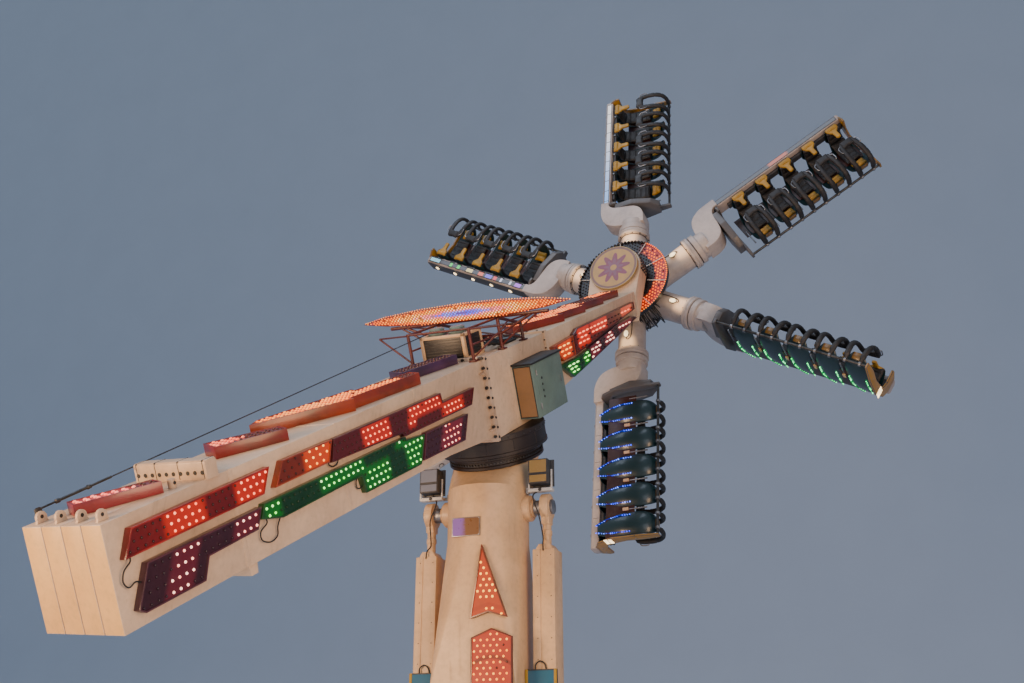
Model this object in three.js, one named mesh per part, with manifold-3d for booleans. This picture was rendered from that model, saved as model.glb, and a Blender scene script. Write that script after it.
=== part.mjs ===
// Fairground thrill ride with a tilted slewing boom.
// A fixed tower carries a long counterweighted boom on a slewing ring that leans over.
// The far end of the boom carries a canted star of six arms, and each arm ends in a
// gondola with five seats that swings freely about its arm.
// Units are millimetres, +Z is up, and the origin lies on the ground under the ring.

import * as THREE from 'three';
import { mergeVertices } from 'three/addons/utils/BufferGeometryUtils.js';
import Module from 'manifold-3d';

const wasm = await Module();
wasm.setup();

const DEG = Math.PI / 180;
const GAP = 0.3;

// main layout
const PIVOT_Z = 8500;
const RING_TILT = 30 * DEG;
const BOOM_YAW = -9 * DEG;
const HUB_REACH = 7050;
const HUB_CANT = 48.5 * DEG;
const STAR_DROP = 350;
const STAR_PHASE = 6 * DEG;

// tower and base
const COLUMN_R = 660;
const COLUMN_HALF_X = 700;
const COLUMN_HALF_Y = 620;
const COLUMN_FOOT_Z = 850;
const COLUMN_SQUARE_Z = 4150;
const COLUMN_ROUND_Z = 6300;
const COLUMN_NECK_Z = 7190;
const PANEL_T = 45;
const PANEL_BACK = -400;
const BASE_HALF = 1500;
const BASE_H = 550;
const OUTRIGGER_REACH = 5600;
const JACK_R = 110;
const FOOT_R = 420;
const STRUT_X = 1000;
const STRUT_TOP_Z = 6150;
const TRUNNION_Z = 6850;
const TRUNNION_R = 120;

// slewing ring, heights along the tilted axis
const RING_FOOT = -750;
const RING_TOP = -560;
const RING_R = 800;
const SKIRT_R = 900;
const SKIRT_TOP = -200;

// boom box sections
const BOOM_TOP = 1115;
const REAR_X = -8840;
const SEAM_X = -7000;
const FLANGE_REAR_X = -1024;
const FLANGE_FRONT_X = 1300;
const FRONT_END_X = 6050;
const REAR_BOTTOM = -25;
const CENTRE_BOTTOM = -200;
const FRONT_BOTTOM = -30;
const TIP_BOTTOM = 595;
const REAR_HALF_W = 560;
const CENTRE_HALF_W = 620;
const TIP_HALF_W = 540;
const FLANGE_T = 40;
const FLANGE_OVER = 70;
const BAND_T = 90;

// hub and star, heights along the star's own axis above the plane of the arms
const HEAD_LOW = 670;
const HEAD_HIGH = 1050;
const HEAD_R = 580;
const SIGN_DISC_R = 550;
const SIGN_DISC_T = 60;
const LED_DISC_R = 1040;
const LED_DISC_LOW = 520;
const LED_DISC_T = 110;
const HUB_APOTHEM = 640;
const HUB_HALF_H = 430;
const ARM_R = 300;
const ARM_END = 1600;
const COLLAR_R = 365;

// gondola
const SEAT_COUNT = 5;
const SEAT_FIRST = 3170;
const SEAT_PITCH = 620;
const SEAT_W = 540;
const COLLAR_END = 1950;
const BEAM_START = 2480;
const BEAM_END = 5980;
const BEAM_TOP = -570;
const BEAM_H = 200;
const BEAM_HALF = 150;
const SHAFT_Y = -360;
const SHAFT_Z = 735;
const SHAFT_R = 28;

// colours
const CREAM = 0xe6ddc4;
const STEEL_DARK = 0x3a3b3d;
const RED_FRAME = 0x7a1f24;
const BROWN = 0x3b2a20;
const TEAL = 0x1f6d72;
const YELLOW = 0xe8b92c;
const BLUE = 0x2456a8;

function paint(color, roughness = 0.45, metalness = 0.1) {
  return new THREE.MeshStandardMaterial({ color, roughness, metalness });
}

function solid(geometry) {
  const bare = geometry.clone();
  bare.deleteAttribute('normal');
  bare.deleteAttribute('uv');
  const merged = mergeVertices(bare, 1e-3);
  return new wasm.Manifold(new wasm.Mesh({
    numProp: 3,
    vertProperties: new Float32Array(merged.attributes.position.array),
    triVerts: new Uint32Array(merged.index.array),
  }));
}

function fromSolid(body) {
  const raw = body.getMesh();
  const geometry = new THREE.BufferGeometry();
  const count = raw.vertProperties.length / raw.numProp;
  const position = new Float32Array(count * 3);
  for (let i = 0; i < count; i += 1) {
    for (let k = 0; k < 3; k += 1) {
      position[3 * i + k] = raw.vertProperties[raw.numProp * i + k];
    }
  }
  geometry.setAttribute('position', new THREE.BufferAttribute(position, 3));
  geometry.setIndex(new THREE.BufferAttribute(new Uint32Array(raw.triVerts), 1));
  geometry.computeVertexNormals();
  return geometry;
}

function join(parts, cuts = []) {
  let body = solid(parts[0]);
  for (const part of parts.slice(1)) {
    body = body.add(solid(part));
  }
  for (const cut of cuts) {
    body = body.subtract(solid(cut));
  }
  return fromSolid(body);
}

function box(x0, x1, y0, y1, z0, z1) {
  const geometry = new THREE.BoxGeometry(x1 - x0, y1 - y0, z1 - z0);
  return geometry.translate((x0 + x1) / 2, (y0 + y1) / 2, (z0 + z1) / 2);
}

function rod(radius, length, segments = 16, radiusTop = radius) {
  const geometry = new THREE.CylinderGeometry(radiusTop, radius, length, segments);
  return geometry.rotateX(Math.PI / 2);
}

function rodZ(radius, z0, z1, segments = 16) {
  return rod(radius, z1 - z0, segments).translate(0, 0, (z0 + z1) / 2);
}

function rodX(radius, x0, x1, segments = 16) {
  return rod(radius, x1 - x0, segments).rotateY(Math.PI / 2).translate((x0 + x1) / 2, 0, 0);
}

function bar(from, to, half, segments = 4) {
  const start = new THREE.Vector3(...from);
  const end = new THREE.Vector3(...to);
  const along = end.clone().sub(start);
  const geometry = new THREE.CylinderGeometry(half, half, along.length(), segments);
  const turn = new THREE.Quaternion();
  turn.setFromUnitVectors(new THREE.Vector3(0, 1, 0), along.clone().normalize());
  geometry.applyQuaternion(turn);
  const middle = start.add(end).multiplyScalar(0.5);
  return geometry.translate(middle.x, middle.y, middle.z);
}

function outline(points) {
  const shape = new THREE.Shape();
  shape.moveTo(points[0][0], points[0][1]);
  for (const [a, b] of points.slice(1)) {
    shape.lineTo(a, b);
  }
  shape.closePath();
  return shape;
}

// outline in (x, z), thick along y from y0 to y1
function sideSlab(points, y0, y1) {
  const geometry = new THREE.ExtrudeGeometry(outline(points), { depth: y1 - y0, bevelEnabled: false });
  geometry.rotateX(Math.PI / 2);
  return geometry.translate(0, y1, 0);
}

// outline in (y, z), thick along x from x0 to x1
function crossSlab(points, x0, x1) {
  const geometry = new THREE.ExtrudeGeometry(outline(points), { depth: x1 - x0, bevelEnabled: false });
  const basis = new THREE.Matrix4();
  basis.makeBasis(
    new THREE.Vector3(0, 1, 0),
    new THREE.Vector3(0, 0, 1),
    new THREE.Vector3(1, 0, 0),
  );
  geometry.applyMatrix4(basis);
  return geometry.translate(x0, 0, 0);
}

// outline in (x, y), thick along z from z0 to z1
function topSlab(points, z0, z1) {
  const geometry = new THREE.ExtrudeGeometry(outline(points), { depth: z1 - z0, bevelEnabled: false });
  return geometry.translate(0, 0, z0);
}

// side profile in (x, z) whose half width changes evenly from one end to the other
function taperedBeam(points, xa, halfA, xb, halfB) {
  const geometry = sideSlab(points, -1, 1);
  const position = geometry.attributes.position;
  for (let i = 0; i < position.count; i += 1) {
    const share = (position.getX(i) - xa) / (xb - xa);
    const half = halfA + (halfB - halfA) * share;
    position.setY(i, position.getY(i) * half);
  }
  return geometry;
}

function place(group, name, geometry, material) {
  const mesh = new THREE.Mesh(geometry, material);
  mesh.name = name;
  group.add(mesh);
  return mesh;
}

// half width of the boom's side at a place along it
function sideAt(x) {
  if (x < FLANGE_REAR_X) {
    const share = (x - REAR_X) / (FLANGE_REAR_X - REAR_X);
    return REAR_HALF_W + (CENTRE_HALF_W - REAR_HALF_W) * share;
  }
  if (x < FLANGE_FRONT_X) {
    return CENTRE_HALF_W;
  }
  const share = (x - FLANGE_FRONT_X) / (FRONT_END_X - FLANGE_FRONT_X);
  return CENTRE_HALF_W + (TIP_HALF_W - CENTRE_HALF_W) * share;
}

// a panel that follows the boom's tapering side, on the +Y or the -Y flank
function sideBand(points, side) {
  const geometry = sideSlab(points, 0, 1);
  const position = geometry.attributes.position;
  for (let i = 0; i < position.count; i += 1) {
    const inner = sideAt(position.getX(i)) + GAP;
    position.setY(i, inner + BAND_T * position.getY(i));
  }
  if (side < 0) {
    geometry.applyMatrix4(new THREE.Matrix4().makeScale(1, -1, 1));
    const order = mergeVertices(geometry);
    const index = order.index.array;
    for (let i = 0; i < index.length; i += 3) {
      const keep = index[i];
      index[i] = index[i + 1];
      index[i + 1] = keep;
    }
    order.computeVertexNormals();
    return order;
  }
  return geometry;
}

// Tower column: square foot, faceted change to a round top, and a leaning head
// grow widens the column on all sides, for cutting what is seated against it
function columnGeometry(grow = 0) {
  const segments = 24;
  const levels = 5;
  const geometry = new THREE.CylinderGeometry(1, 1, levels, segments, levels);
  geometry.rotateX(Math.PI / 2);
  const position = geometry.attributes.position;
  const headCentre = new THREE.Vector3(0, -Math.sin(RING_TILT), Math.cos(RING_TILT));
  headCentre.multiplyScalar(RING_FOOT - GAP);
  headCentre.z += PIVOT_Z;
  const square = [COLUMN_FOOT_Z + GAP, COLUMN_SQUARE_Z];
  const round = [COLUMN_ROUND_Z, COLUMN_NECK_Z - 300, COLUMN_NECK_Z];
  for (let i = 0; i < position.count; i += 1) {
    const level = Math.round(position.getZ(i) + levels / 2);
    const a = position.getX(i);
    const b = position.getY(i);
    if (level < 2) {
      const reach = Math.max(Math.abs(a), Math.abs(b), 1e-9);
      const scale = Math.hypot(a, b) < 0.5 ? 0 : 1 / reach;
      const halfX = COLUMN_HALF_X + grow;
      const halfY = COLUMN_HALF_Y + grow;
      position.setXYZ(i, a * scale * halfX, b * scale * halfY, square[level]);
    } else if (level < levels) {
      const r = COLUMN_R + grow;
      position.setXYZ(i, a * r, b * r, round[level - 2]);
    } else {
      const r = RING_R - 60 + grow;
      const y = headCentre.y + b * r * Math.cos(RING_TILT);
      const z = headCentre.z + b * r * Math.sin(RING_TILT);
      position.setXYZ(i, headCentre.x + a * r, y, z);
    }
  }
  return geometry;
}

function buildBase(root) {
  const steel = paint(STEEL_DARK, 0.6, 0.3);
  const frame = join([
    box(-BASE_HALF, BASE_HALF, -BASE_HALF, BASE_HALF, COLUMN_FOOT_Z - BASE_H, COLUMN_FOOT_Z),
    box(-700, 700, -700, 700, 0, COLUMN_FOOT_Z - BASE_H + 10),
  ]);
  place(root, 'base_frame', frame, steel);
  for (let i = 0; i < 4; i += 1) {
    const leg = new THREE.Group();
    leg.rotation.z = (45 + 90 * i) * DEG;
    root.add(leg);
    const inner = BASE_HALF * Math.SQRT2;
    const beam = join([
      box(inner - 330, OUTRIGGER_REACH, -150, 150, 420, 740),
      rodZ(JACK_R, 60, 1050, 12).translate(OUTRIGGER_REACH, 0, 0),
      rodZ(FOOT_R, 0, 70, 20).translate(OUTRIGGER_REACH, 0, 0),
      rodZ(210, 350, 800, 12).translate(OUTRIGGER_REACH, 0, 0),
    ], [
      new THREE.BoxGeometry(2 * BASE_HALF + 2 * GAP, 2 * BASE_HALF + 2 * GAP, 2000)
        .rotateZ(-leg.rotation.z),
    ]);
    place(leg, `outrigger_${i + 1}`, beam, steel);
  }
}

function buildTower(root) {
  const cream = paint(CREAM);
  const column = join([
    columnGeometry(),
    rodX(TRUNNION_R, -1120, 1120, 20).translate(0, 0, TRUNNION_Z),
    rodX(TRUNNION_R + 90, -760, 760, 20).translate(0, 0, TRUNNION_Z),
    box(-360, 120, -COLUMN_R - 14, -300, 6330, 6640),
  ]);
  place(root, 'tower_column', column, cream);

  for (const side of [-1, 1]) {
    const tag = side < 0 ? 'left' : 'right';
    const x = side * STRUT_X;
    const strut = join([
      box(x - 180, x + 180, -200, 200, COLUMN_FOOT_Z + GAP, STRUT_TOP_Z),
      box(x - 140, x + 140, -160, 160, STRUT_TOP_Z - 5, STRUT_TOP_Z + 90),
      rodZ(70, STRUT_TOP_Z + 80, TRUNNION_Z - 100).translate(x, 0, 0),
      rodX(TRUNNION_R + 95, x - 70, x + 70, 20).translate(0, 0, TRUNNION_Z),
    ], [
      rodX(TRUNNION_R + 1, x - 200, x + 200, 20).translate(0, 0, TRUNNION_Z),
    ]);
    place(root, `side_strut_${tag}`, strut, cream);

    const xo = side * 950;
    const lamp = join([
      box(xo - 170, xo + 170, -300, -90, 7190, 7570),
      box(xo - 205, xo + 205, -90.5, -60, 7160, 7600),
      box(xo - 60, xo + 60, -65, 20, 7080, 7180),
      box(Math.min(side * 690, xo), Math.max(side * 690, xo), -60, 10, 7080, 7180),
      box(Math.min(side * 560, side * 720), Math.max(side * 560, side * 720), -60, 10, 7080, 7180),
    ], [
      rodZ(COLUMN_R + GAP, COLUMN_ROUND_Z, COLUMN_NECK_Z, 24),
    ]);
    place(root, `floodlight_${tag}`, lamp, paint(STEEL_DARK, 0.5, 0.4));

    const screen = box(side * 960 - 250, side * 960 + 250, -260, -200 - GAP, 2100, 4330);
    place(root, `side_screen_${tag}`, screen, paint(BLUE, 0.35, 0));
  }

  // the lamp panels' backs are cut to the column's front
  const front = -COLUMN_R - PANEL_T;
  const arrow = join([
    sideSlab([[-20, 5060], [275, 5150], [585, 5060], [155, 6190]], front, PANEL_BACK),
  ], [columnGeometry(GAP)]);
  place(root, 'arrow_lamp_panel', arrow, paint(YELLOW, 0.4, 0));
  const panel = join([
    sideSlab(
      [[0, 2300], [665, 2300], [665, 4780], [330, 4910], [0, 4780]], front, PANEL_BACK,
    ),
  ], [columnGeometry(GAP)]);
  place(root, 'tower_light_panel', panel, paint(0xc9402a, 0.4, 0));
}

function buildBoom(root) {
  const cream = paint(CREAM);

  const ring = new THREE.Group();
  ring.position.set(0, 0, PIVOT_Z);
  ring.rotation.x = RING_TILT;
  root.add(ring);
  const seat = rodZ(RING_R, RING_FOOT, RING_TOP, 32);
  place(ring, 'slewing_ring', seat, paint(STEEL_DARK, 0.4, 0.6));

  const boom = new THREE.Group();
  boom.position.set(0, 0, PIVOT_Z);
  boom.rotation.set(RING_TILT, 0, Math.PI / 2 + BOOM_YAW);
  root.add(boom);

  place(boom, 'slewing_skirt', rodZ(SKIRT_R, RING_TOP + GAP, SKIRT_TOP - GAP, 32), paint(BROWN, 0.6, 0.2));

  // counterweight section, four slabs wide, with lifting lugs and a pierced cross bar
  const slabCuts = [];
  for (const share of [-0.5, 0, 0.5]) {
    const y = share * REAR_HALF_W;
    slabCuts.push(box(REAR_X - 10, REAR_X + 40, y - 9, y + 9, REAR_BOTTOM - 10, BOOM_TOP + 10));
  }
  const lugs = [-430, -150, 150, 430].map((y) => {
    const lug = rod(75, 36, 12).rotateX(Math.PI / 2).translate(REAR_X + 150, y, BOOM_TOP + 50);
    return lug;
  });
  const lugHoles = [-430, -150, 150, 430].map((y) => {
    const hole = rod(32, 60, 8).rotateX(Math.PI / 2).translate(REAR_X + 150, y, BOOM_TOP + 62);
    return hole;
  });
  const counterweight = join([
    taperedBeam(
      [[REAR_X, REAR_BOTTOM], [SEAM_X, REAR_BOTTOM], [SEAM_X, BOOM_TOP], [REAR_X, BOOM_TOP]],
      REAR_X, REAR_HALF_W, SEAM_X, sideAt(SEAM_X),
    ),
    ...lugs,
    box(-7420, -7260, -640, 640, BOOM_TOP - 20, BOOM_TOP + 165),
  ], [...slabCuts, ...lugHoles]);
  place(boom, 'counterweight_box', counterweight, cream);

  const rearBeam = join([
    taperedBeam(
      [
        [SEAM_X + GAP, REAR_BOTTOM],
        [-2400, REAR_BOTTOM - 20],
        [FLANGE_REAR_X - GAP, CENTRE_BOTTOM + 60],
        [FLANGE_REAR_X - GAP, BOOM_TOP],
        [SEAM_X + GAP, BOOM_TOP],
      ],
      SEAM_X, sideAt(SEAM_X), FLANGE_REAR_X, CENTRE_HALF_W,
    ),
    box(
      FLANGE_REAR_X - FLANGE_T, FLANGE_REAR_X - GAP,
      -CENTRE_HALF_W - FLANGE_OVER, CENTRE_HALF_W + FLANGE_OVER,
      CENTRE_BOTTOM - 10, BOOM_TOP + 50,
    ),
    box(SEAM_X + 60, SEAM_X + 220, -240, 240, REAR_BOTTOM - 130, REAR_BOTTOM + 10),
  ]);
  place(boom, 'rear_beam', rearBeam, cream);

  const housing = join([
    box(FLANGE_REAR_X, FLANGE_FRONT_X, -CENTRE_HALF_W, CENTRE_HALF_W, CENTRE_BOTTOM, BOOM_TOP),
    box(
      FLANGE_REAR_X, FLANGE_REAR_X + FLANGE_T,
      -CENTRE_HALF_W - FLANGE_OVER, CENTRE_HALF_W + FLANGE_OVER,
      CENTRE_BOTTOM - 10, BOOM_TOP + 50,
    ),
    box(
      FLANGE_FRONT_X - FLANGE_T, FLANGE_FRONT_X,
      -CENTRE_HALF_W - 40, CENTRE_HALF_W + 40,
      FRONT_BOTTOM - 40, BOOM_TOP + 40,
    ),
  ]);
  place(boom, 'centre_housing', housing, cream);

  const frontBeam = join([
    taperedBeam(
      [
        [FLANGE_FRONT_X + GAP, FRONT_BOTTOM],
        [FRONT_END_X, TIP_BOTTOM],
        [FRONT_END_X, BOOM_TOP],
        [FLANGE_FRONT_X + GAP, BOOM_TOP],
      ],
      FLANGE_FRONT_X, CENTRE_HALF_W, FRONT_END_X, TIP_HALF_W,
    ),
    box(
      FLANGE_FRONT_X + GAP, FLANGE_FRONT_X + FLANGE_T,
      -CENTRE_HALF_W - 40, CENTRE_HALF_W + 40,
      FRONT_BOTTOM - 40, BOOM_TOP + 40,
    ),
  ]);
  place(boom, 'front_beam', frontBeam, cream);

  // zigzag light panels along both flanks
  const bands = {
    band_rear_upper: [
      [-8770, 700], [-5160, 680], [-3460, 590], [-1470, 510],
      [-1330, 770], [-2340, 770], [-2340, 930], [-8610, 990],
    ],
    band_rear_lower: [
      [-8740, 130], [-8650, 90], [-7650, 95], [-7530, 340], [-4600, 310], [-4640, 90],
      [-1860, 60], [-1640, 415], [-3430, 440], [-3430, 520], [-8410, 565],
    ],
    band_front_upper: [
      [1810, 490], [2400, 485], [5690, 790], [5680, 945], [2590, 945], [2250, 790], [1390, 800],
    ],
    band_front_lower: [
      [2110, 130], [3160, 250], [4760, 460], [5800, 600], [4620, 655], [3170, 500], [2400, 440], [1600, 445],
    ],
  };
  const bandPaint = {
    band_rear_upper: paint(0xd8452b, 0.4, 0),
    band_rear_lower: paint(0x4d8f3d, 0.4, 0),
    band_front_upper: paint(0xe0792b, 0.4, 0),
    band_front_lower: paint(0x6a3c8f, 0.4, 0),
  };
  for (const [name, points] of Object.entries(bands)) {
    place(boom, `${name}_right`, sideBand(points, -1), bandPaint[name]);
    place(boom, `${name}_left`, sideBand(points, 1), bandPaint[name]);
  }

  // light boxes standing on the top face
  const topZ = BOOM_TOP + GAP;
  const topBoxes = {
    top_light_rear: [
      [[-8560, 90], [-7800, -400], [-7700, -170], [-8430, 330]], 130, 0xd7488f,
    ],
    top_light_second: [
      [[-6480, 30], [-5720, -460], [-5560, -200], [-6240, 420]], 150, 0xb7332c,
    ],
    top_light_middle: [
      [[-5480, 330], [-4260, -450], [-4180, -340], [-2700, -520], [-2560, -260], [-3650, -40], [-3560, 80], [-5200, 440]],
      170, 0xe0792b,
    ],
    top_light_inner: [
      [[-2450, -60], [-1200, -300], [-1130, -20], [-2250, 300]], 150, 0x6a3c8f,
    ],
    top_light_front: [
      [
        [1420, 20], [2500, -500], [2600, -300], [3500, -500], [3600, -290], [4500, -470], [4620, -250], [5500, -400],
        [5420, -60], [4700, 120], [4600, -30], [3700, 180], [3600, 20], [2700, 250], [2600, 80], [1700, 360],
      ],
      140, 0xd8452b,
    ],
  };
  for (const [name, [points, height, color]] of Object.entries(topBoxes)) {
    place(boom, name, topSlab(points, topZ, topZ + height), paint(color, 0.4, 0));
  }

  const cabinet = join([
    box(-100, 1050, -990, -CENTRE_HALF_W - GAP, -100, 800),
    box(-130, 1080, -1010, -CENTRE_HALF_W - GAP, 800 - 5, 830),
  ]);
  place(boom, 'control_cabinet', cabinet, paint(TEAL, 0.5, 0.1));
  const drive = join([
    box(-930, -330, -320, 500, topZ, topZ + 430),
    rodZ(150, topZ + 420, topZ + 560).translate(-640, 320, 0),
    rodZ(150, topZ + 420, topZ + 560).translate(-640, -60, 0),
  ]);
  place(boom, 'drive_unit', drive, paint(STEEL_DARK, 0.6, 0.3));

  // name sign on its frame
  const frameBars = [];
  for (const y of [-560, 560]) {
    frameBars.push(bar([-180, y, topZ], [-180, y, topZ + 640], 38));
    frameBars.push(bar([620, y, topZ], [620, y, topZ + 330], 38));
    frameBars.push(bar([620, y, topZ + 300], [-200, y, topZ + 600], 34));
    frameBars.push(bar([-180, y, topZ + 250], [-180, y * 2.2, topZ + 600], 30));
    frameBars.push(box(-240, -120, y - 60, y + 60, topZ, topZ + 25));
    frameBars.push(box(560, 680, y - 60, y + 60, topZ, topZ + 25));
  }
  frameBars.push(bar([-180, -1500, topZ + 600], [-180, 1500, topZ + 600], 40));
  frameBars.push(bar([-180, -560, topZ + 250], [-180, 560, topZ + 250], 34));
  frameBars.push(bar([620, -560, topZ + 300], [620, 560, topZ + 300], 34));
  const lens = [
    [-1950, 0], [-1500, -75], [-800, -128], [0, -144], [800, -128], [1500, -75],
    [1950, 0], [1500, 80], [800, 137], [0, 156], [-800, 137], [-1500, 80],
  ];
  const sign = crossSlab(lens, -70, 0);
  sign.rotateY(-12 * DEG);
  sign.translate(-242, 0, topZ + 700);
  place(boom, 'name_sign', sign, paint(0xe9dcc8, 0.4, 0));
  const wide = lens.map(([a, b]) => [a * 1.005, b * 1.01]);
  const notch = crossSlab(wide, -70, GAP);
  notch.rotateY(-12 * DEG);
  notch.translate(-242, 0, topZ + 700);
  place(boom, 'sign_frame', join(frameBars, [notch]), paint(RED_FRAME, 0.5, 0.3));

  const cable = join([
    box(REAR_X + 110, REAR_X + 200, 448 + GAP, 462, BOOM_TOP + 30, BOOM_TOP + 150),
    bar([REAR_X + 180, 455, BOOM_TOP + 135], [-218.5, 560, BOOM_TOP + 450], 9, 8),
  ]);
  place(boom, 'stay_cable', cable, paint(0x6e6e6e, 0.4, 0.8));
  return boom;
}

function buildHead(boom, star) {
  // stadium plate around the star's axis, cut where the boom's end face meets it
  const points = [];
  for (let i = 0; i <= 12; i += 1) {
    const angle = (-90 + 15 * i) * DEG;
    points.push([HEAD_R * Math.cos(angle), HEAD_R * Math.sin(angle)]);
  }
  points.push([-1250, TIP_HALF_W]);
  points.push([-1250, -TIP_HALF_W]);
  const endCut = box(-6000, FRONT_END_X + GAP, -900, 900, -3000, 4000);
  endCut.translate(-HUB_REACH, 0, -BOOM_TOP);
  endCut.rotateY(HUB_CANT);
  endCut.translate(0, 0, STAR_DROP);
  const plate = join([topSlab(points, HEAD_LOW, HEAD_HIGH)], [endCut]);
  place(star, 'boom_head', plate, paint(CREAM));

  const disc = join([
    rodZ(SIGN_DISC_R, HEAD_HIGH + 40, HEAD_HIGH + 40 + SIGN_DISC_T, 32),
    rodZ(300, HEAD_HIGH + GAP, HEAD_HIGH + 45, 24),
  ]);
  place(star, 'hub_badge', disc, paint(YELLOW, 0.35, 0));
}

function buildStar(star) {
  const cream = paint(CREAM);
  const hub = [rodZ(HUB_APOTHEM / Math.cos(30 * DEG), -HUB_HALF_H, HUB_HALF_H, 6)
    .rotateZ(STAR_PHASE)];
  hub.push(rodZ(330, HUB_HALF_H - 5, LED_DISC_LOW - GAP, 24));
  hub.push(rodZ(430, -HUB_HALF_H - 380, -HUB_HALF_H + 5, 16));
  for (let k = 0; k < 6; k += 1) {
    const turn = STAR_PHASE - 60 * k * DEG;
    hub.push(rodX(ARM_R, 560, ARM_END - 60, 16).rotateZ(turn));
    hub.push(rodX(COLLAR_R, ARM_END - 70, ARM_END, 16).rotateZ(turn));
    hub.push(box(1120, 1330, -90, 90, ARM_R - 40, ARM_R + 120).rotateZ(turn));
  }
  place(star, 'star_arms', join(hub), cream);

  const disc = join([
    rodZ(LED_DISC_R, LED_DISC_LOW, LED_DISC_LOW + LED_DISC_T, 40),
    rodZ(240, LED_DISC_LOW + 100, HEAD_LOW - GAP, 20),
  ]);
  place(star, 'light_disc', disc, paint(0x2b1a14, 0.5, 0));
}

// foot of each seat shell, hanging behind the beam
const SHELL_FOOT_Y = -310;
const SHELL_FOOT_Z = -580;

// C-shaped seat shell, front edge of the pan to the top of the back, in (y, z)
const SHELL = [
  [210, -460], [-60, -530], [SHELL_FOOT_Y, SHELL_FOOT_Z], [-455, -60], [-420, 430], [-290, 640], [-110, 700],
  [-100, 615], [-235, 560], [-335, 385], [-365, -60], [-225, -395], [-60, -430], [200, -375],
];

const HOOK = [
  [-360, 715], [-150, 780], [60, 690], [155, 440], [155, 60],
  [215, 60], [215, 480], [110, 750], [-140, 850],
];

// grey guard beside the first seat, in (y, z)
const WEDGE = [
  [-230, -400], [-120, -440], [200, -420], [250, 0], [120, 440], [-60, 600], [-330, 560], [-420, 120],
];

// side plate at either end of a row of seats, in (y, z)
const END_PLATE = [
  [-BEAM_HALF, BEAM_TOP - 60], [BEAM_HALF, BEAM_TOP - 60], [230, -470], [215, -380], [-60, -400],
  [-220, -330], [-300, 100], [-270, 420], [-300, 780], [-420, 780], [-470, 300], [-470, -200], [-330, -520],
];

// flat swan-neck from the collar down to the beam, in (x, z)
const ELBOW = [
  [COLLAR_END - 40, -300], [1990, -520], [2090, -655], [2240, -745], [2430, -770], [2700, -770],
  [2700, BEAM_TOP + 5], [2600, BEAM_TOP + 5], [2520, -500], [2470, -380], [2440, -120], [2390, 90],
  [2290, 230], [2130, 295], [COLLAR_END - 40, 300],
];

function yokeGeometry() {
  const floor = BEAM_TOP - BEAM_H;
  const beam = crossSlab(
    [
      [-BEAM_HALF, floor + 50], [-BEAM_HALF + 60, floor], [BEAM_HALF - 60, floor],
      [BEAM_HALF, floor + 50], [BEAM_HALF, BEAM_TOP], [-BEAM_HALF, BEAM_TOP],
    ],
    2600, BEAM_END,
  );
  return join([
    rodX(COLLAR_R, ARM_END + GAP, COLLAR_END - 130, 16),
    rodX(ARM_R, COLLAR_END - 140, COLLAR_END + 40, 16),
    sideSlab(ELBOW, -170, 170),
    beam,
    crossSlab(END_PLATE, BEAM_START + 120, BEAM_START + 180),
    crossSlab(END_PLATE, BEAM_END - 50, BEAM_END),
    crossSlab(WEDGE, BEAM_START - 30, BEAM_START + 130),
  ]);
}

function seatsGeometry() {
  const parts = [];
  const x0 = SEAT_FIRST - SEAT_W / 2;
  const x1 = SEAT_FIRST + (SEAT_COUNT - 1) * SEAT_PITCH + SEAT_W / 2;
  parts.push(box(x0, x1, -100, 40, BEAM_TOP + GAP, -480));
  for (let k = 0; k < SEAT_COUNT; k += 1) {
    const x = SEAT_FIRST + k * SEAT_PITCH;
    parts.push(crossSlab(SHELL, x - SEAT_W / 2, x + SEAT_W / 2));
    parts.push(box(x - 130, x + 130, -345, -245, 380, 555));
  }
  return join(parts);
}

function harnessGeometry() {
  const x0 = BEAM_START + 180 + GAP;
  const x1 = BEAM_END - 50 - GAP;
  const parts = [rodX(SHAFT_R, x0, x1, 4).translate(0, SHAFT_Y, SHAFT_Z)];
  for (let k = 0; k < SEAT_COUNT; k += 1) {
    const x = SEAT_FIRST + k * SEAT_PITCH;
    parts.push(crossSlab(HOOK, x - 200, x - 140));
    parts.push(crossSlab(HOOK, x + 140, x + 200));
    parts.push(box(x - 150, x + 150, 150, 225, 70, 260));
  }
  return join(parts);
}

function buildGondola(star, tag, armAngle, roll) {
  const arm = new THREE.Group();
  arm.rotation.z = armAngle;
  star.add(arm);
  const gondola = new THREE.Group();
  gondola.rotation.x = -roll;
  arm.add(gondola);
  place(gondola, `yoke_${tag}`, yokeGeometry(), paint(CREAM));
  place(gondola, `seats_${tag}`, seatsGeometry(), paint(0x1d3f63, 0.35, 0));
  place(gondola, `harness_${tag}`, harnessGeometry(), paint(0x1b1b1d, 0.6, 0));
}

const root = new THREE.Group();
buildBase(root);
buildTower(root);
const boomGroup = buildBoom(root);
const starGroup = new THREE.Group();
starGroup.position.set(
  HUB_REACH + STAR_DROP * Math.sin(HUB_CANT), 0, BOOM_TOP - STAR_DROP * Math.cos(HUB_CANT),
);
starGroup.rotation.y = -HUB_CANT;
boomGroup.add(starGroup);
buildHead(boomGroup, starGroup);
buildStar(starGroup);
const ROLLS = { a: -90, b: -90, c: 0, d: 90, e: -90, f: -90 };
Object.entries(ROLLS).forEach(([tag, roll], k) => {
  buildGondola(starGroup, tag, STAR_PHASE - 60 * k * DEG, roll * DEG);
});
root.updateMatrixWorld(true);

export default root;
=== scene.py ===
"""A travelling fairground ride: tower, slewing boom, hub, star of arms and gondolas."""
import logging
import math
import random
from dataclasses import dataclass, field
from enum import Enum
from typing import Any, Dict, List, Optional, Sequence, Tuple

import bmesh
import bpy
from mathutils import Matrix, Vector


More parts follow.
